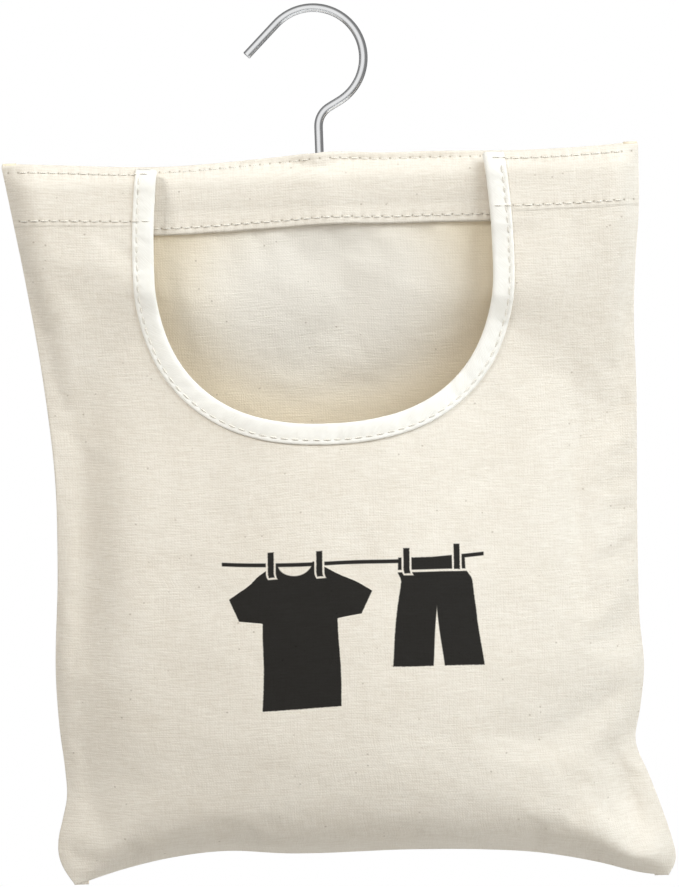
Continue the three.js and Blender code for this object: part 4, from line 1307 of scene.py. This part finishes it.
def printed(centre):
    """Ink of the whole print, from places on the flat cloth."""
    def line_height(x):
        return LINE_HEIGHT - LINE_SAG * (1 - (x / LINE_HALF) ** 2)

    def ink(tree, x, y, grain):
        x = x - float(centre[0])
        y = float(centre[1]) - y
        edge = (grain - 0.5) * INK_UNEVEN
        sag = x * x * (LINE_SAG / LINE_HALF ** 2) + (LINE_HEIGHT - LINE_SAG)
        shape = inked(LINE_WIDTH - (y - sag).absolute()) * inked(LINE_HALF - x.absolute())
        for draw, at, height, pegs in (
            (shirt, SHIRT_AT, SHIRT_HEIGHT, SHIRT_PEGS), (shorts, SHORTS_AT, SHORTS_HEIGHT, SHORTS_PEGS),
        ):
            hem = line_height(at) + LINE_WIDTH - height
            shape = shape.math("MAXIMUM", draw(tree, x - at, y - hem, edge))
            for place in (at - pegs, at + pegs):
                distance = peg_distance(x - place, y - line_height(place))
                shape = shape * inked(-distance - PEG_RIM)
                shape = shape.math("MAXIMUM", inked(distance + edge))
        return shape * INK_COVER
    return ink


def flat_place_of(spot):
    """Place on the flat front of the point that shows at (x, z)."""
    face = FRONT[front_first:]
    places = front_places[front_first:]
    away = (face[:, :, 0] - spot[0]) ** 2 + (face[:, :, 2] - spot[1]) ** 2
    return places.reshape(-1, 2)[np.argmin(away)]


# Tape, thread, metal and wood, each between two colours

TAPE_COLOURS = ((0.90, 0.855, 0.765), (0.975, 0.952, 0.893))
THREAD_COLOURS = ((0.80, 0.74, 0.63), (0.96, 0.92, 0.84))
CHROME_COLOURS = ((0.74, 0.745, 0.755), (0.88, 0.885, 0.89))
ZINC_COLOURS = ((0.36, 0.38, 0.40), (0.60, 0.62, 0.63))
WOOD_COLOURS = ((0.42, 0.25, 0.115), (0.68, 0.46, 0.25))
FLOOR_COLOURS = ((0.86, 0.86, 0.86), (0.90, 0.90, 0.90))


def tape():
    """White cotton tape cut on the bias, so that its weave runs askew."""
    material, tree, shader = finish("binding_tape", 0.88, Specular_IOR_Level=0.25, Sheen_Weight=0.06)
    x, y = flat_mm(tree)
    a, b = (x + y) * math.sqrt(0.5), (x - y) * math.sqrt(0.5)
    weave = a.sine(0.72) * b.sine(0.72)
    threads = noise(tree, a / 5.0, b / 0.45, 2.0, 1.0)
    cloudy = noise(tree, x / 18.0, y / 6.0, 7.0, 2.0)
    tone = threads * 0.5 + cloudy * 0.7 + weave * 0.04 - 0.1
    give(shader, Base_Color=blended(tree, tone, *TAPE_COLOURS))
    raised(tree, shader, weave * 0.2 + threads * 0.6, 0.12)
    return material


def thread():
    """Spun cotton sewing thread with its twist."""
    material, tree, shader = finish("thread", 0.85, Specular_IOR_Level=0.25)
    x, y = flat_mm(tree)
    twist = (x + y * 0.8).sine(0.85)
    fuzz = noise(tree, x / 0.6, y / 0.6, 4.0, 2.0)
    tone = twist * 0.25 + fuzz * 0.6 + 0.2
    give(shader, Base_Color=blended(tree, tone, *THREAD_COLOURS))
    raised(tree, shader, twist * 0.5 + fuzz * 0.5, 0.12)
    return material


def chrome():
    """Drawn and plated wire, with faint drawing marks along it."""
    material, tree, shader = finish("chrome_wire", 0.16, 1.0, Specular_Tint=(0.45, 0.45, 0.47, 1))
    x, y = flat_mm(tree)
    drawn = noise(tree, x / 14.0, y / 0.22, 1.0, 2.0)
    cloudy = noise(tree, x / 6.0, y / 3.0, 8.0, 3.0)
    colour = blended(tree, cloudy, *CHROME_COLOURS)
    give(shader, Base_Color=colour, Roughness=drawn * 0.12 + cloudy * 0.08 + 0.08)
    raised(tree, shader, drawn, 0.01)
    return material


def zinc():
    """Plating with its fine crystals."""
    material, tree, shader = finish("zinc", 0.4, 1.0)
    x, y, z = object_mm(tree)
    _, chance = specks(tree, x / 0.9, y / 0.9)
    cloudy = noise(tree, x / 1.6, y / 1.6, z / 1.6, 3.0)
    colour = blended(tree, chance * 0.4 + cloudy * 0.6, *ZINC_COLOURS)
    give(shader, Base_Color=colour, Roughness=cloudy * 0.3 + 0.25)
    raised(tree, shader, cloudy, 0.03)
    return material


def wood():
    """Planed pale wood with its grain along the bar."""
    material, tree, shader = finish("bar_wood", 0.7, Specular_IOR_Level=0.3)
    x, y, z = object_mm(tree)
    wave = noise(tree, x / 60.0, y / 5.0, z / 5.0, 2.0) * 6.0
    rings = (y * 0.8 + z + wave).sine(2.6) * 0.5 + 0.5
    pores = noise(tree, x / 9.0, y / 0.35, z / 0.35, 2.0)
    colour = blended(tree, rings * 0.45 + pores * 0.55, *WOOD_COLOURS)
    give(shader, Base_Color=colour, Roughness=pores * 0.2 + 0.58)
    raised(tree, shader, pores * 0.7 + rings * 0.3, 0.08)
    return material


def dress(piece, material):
    piece.data.materials.clear()
    piece.data.materials.append(material)


dress(front_piece, canvas("canvas_front", SHOULDER_ROWS, HEM_DEPTH, ink=printed(flat_place_of(PRINT_AT))))
# the inside gets painted light where it faces the mouth and painted shade round it
dress(back_piece, canvas("canvas_inside", CASING_ROWS, CASING_HEM, painted_light=INSIDE_PAINTED_LIGHT))
back_piece.data.materials.append(canvas("canvas_back", CASING_ROWS, CASING_HEM))
back_piece.modifiers["thickness"].material_offset = 1
dress(binding_piece, tape())
cotton = thread()
for piece in thread_pieces:
    dress(piece, cotton)
dress(hook_piece, chrome())
plated = zinc()
for node in ("hook_washer", "hook_push_nut"):
    dress(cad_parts[node], plated)
dress(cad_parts["hanger_bar"], wood())

# Camera at the photograph's angle

PHOTO = (679, 887)
MM_PER_PIXEL = 0.43928
ROLL = math.radians(2.07)
AIM = (4.19, -127.4)
DISTANCE = 1.8
SENSOR = 36

camera_data = bpy.data.cameras.new("camera")
camera_data.sensor_fit = "HORIZONTAL"
camera_data.sensor_width = SENSOR
camera_data.lens = SENSOR * DISTANCE / (PHOTO[0] * MM_PER_PIXEL * MM)
camera = linked("camera", camera_data)
target = to_row((AIM[0], 0, AIM[1]))
camera.location = (target[0], -DISTANCE, target[2])
camera.rotation_euler = (math.pi / 2, ROLL, 0)
bpy.context.scene.camera = camera

# Light, surroundings and floor

LAMP_DISTANCE = 2.0
SOFT_LIGHT = (1, 0.88, 0.70, 1)
WHITE = (1, 1, 1, 1)


def soft_box(name, azimuth, elevation, size, power, colour):
    """A square lamp that shines on the bag from degrees right of the camera and above it."""
    data = bpy.data.lights.new(name, "AREA")
    data.energy = power
    data.size = size
    data.color = colour
    lamp = linked(name, data)
    a, e = math.radians(azimuth), math.radians(elevation)
    towards = Vector((math.sin(a) * math.cos(e), -math.cos(a) * math.cos(e), math.sin(e)))
    lamp.visible_glossy = False
    lamp.location = Vector(target) + LAMP_DISTANCE * towards
    lamp.rotation_euler = towards.to_track_quat("Z", "Y").to_euler()


def mixed(tree, share, low, high):
    """A shader between two, as their share says."""
    node = tree.nodes.new("ShaderNodeMixShader")
    for slot, socket in zip(node.inputs, (share, low, high)):
        tree.links.new(socket, slot)
    return node.outputs["Shader"]


def surroundings(above, below, dark):
    """A white backdrop for the camera, soft light all round, and darker walls at the sides for metal."""
    world = bpy.data.worlds.new("studio")
    bpy.context.scene.world = world
    world.use_nodes = True
    tree = world.node_tree
    place = tree.nodes.new("ShaderNodeTexCoord")
    side, behind, up = parts_of(tree, place.outputs["Generated"])
    soft = tree.nodes["Background"]
    give(soft, Color=SOFT_LIGHT, Strength=up.step(-0.7, 0.5) * (above - below) + below)
    white = node_with(tree, "Background", Color=WHITE)
    lit = up * 0.2 - side * 0.25 - behind
    ahead = lit.step(0.45, 1.0).math("MAXIMUM", behind.step(0.8, 0.97))
    walls = node_with(tree, "Background", Color=WHITE, Strength=ahead * (1 - dark) + dark)
    path = tree.nodes.new("ShaderNodeLightPath")
    glossy, clear = (Wire(tree, path.outputs[f"Is {kind} Ray"]) for kind in ("Glossy", "Transmission"))
    shiny = glossy.math("MAXIMUM", clear).socket
    unseen = mixed(tree, shiny, soft.outputs["Background"], walls.outputs["Background"])
    shown = mixed(tree, path.outputs["Is Camera Ray"], unseen, white.outputs["Background"])
    tree.links.new(shown, tree.nodes["World Output"].inputs["Surface"])


def floor(height, half):
    mesh = bpy.data.meshes.new("floor")
    corners = [(-half, -half, height), (half, -half, height), (half, half, height), (-half, half, height)]
    mesh.from_pydata(corners, [], [(0, 1, 2, 3)])
    piece = linked("floor", mesh)
    material, tree, shader = finish("pale_floor", 0.9)
    x, y, _ = object_mm(tree)
    cloudy = noise(tree, x / 90.0, y / 90.0, 0.0, 3.0)
    give(shader, Base_Color=blended(tree, cloudy, *FLOOR_COLOURS))
    piece.data.materials.append(material)


soft_box("right_box", azimuth=60, elevation=32, size=1.7, power=47, colour=(0.875, 0.94, 1.0))
soft_box("left_box", azimuth=-50, elevation=37, size=0.6, power=22.5, colour=(0.965, 0.985, 1.0))
soft_box("front_box", azimuth=4, elevation=8, size=1.5, power=9, colour=(1.0, 0.965, 0.91))
soft_box("back_box", azimuth=148, elevation=12, size=1.5, power=36, colour=(1.0, 0.98, 0.95))
surroundings(above=0.06, below=0.09, dark=0.25)
floor(height=-1.25, half=1.2)

bpy.context.scene.view_settings.view_transform = "Standard"
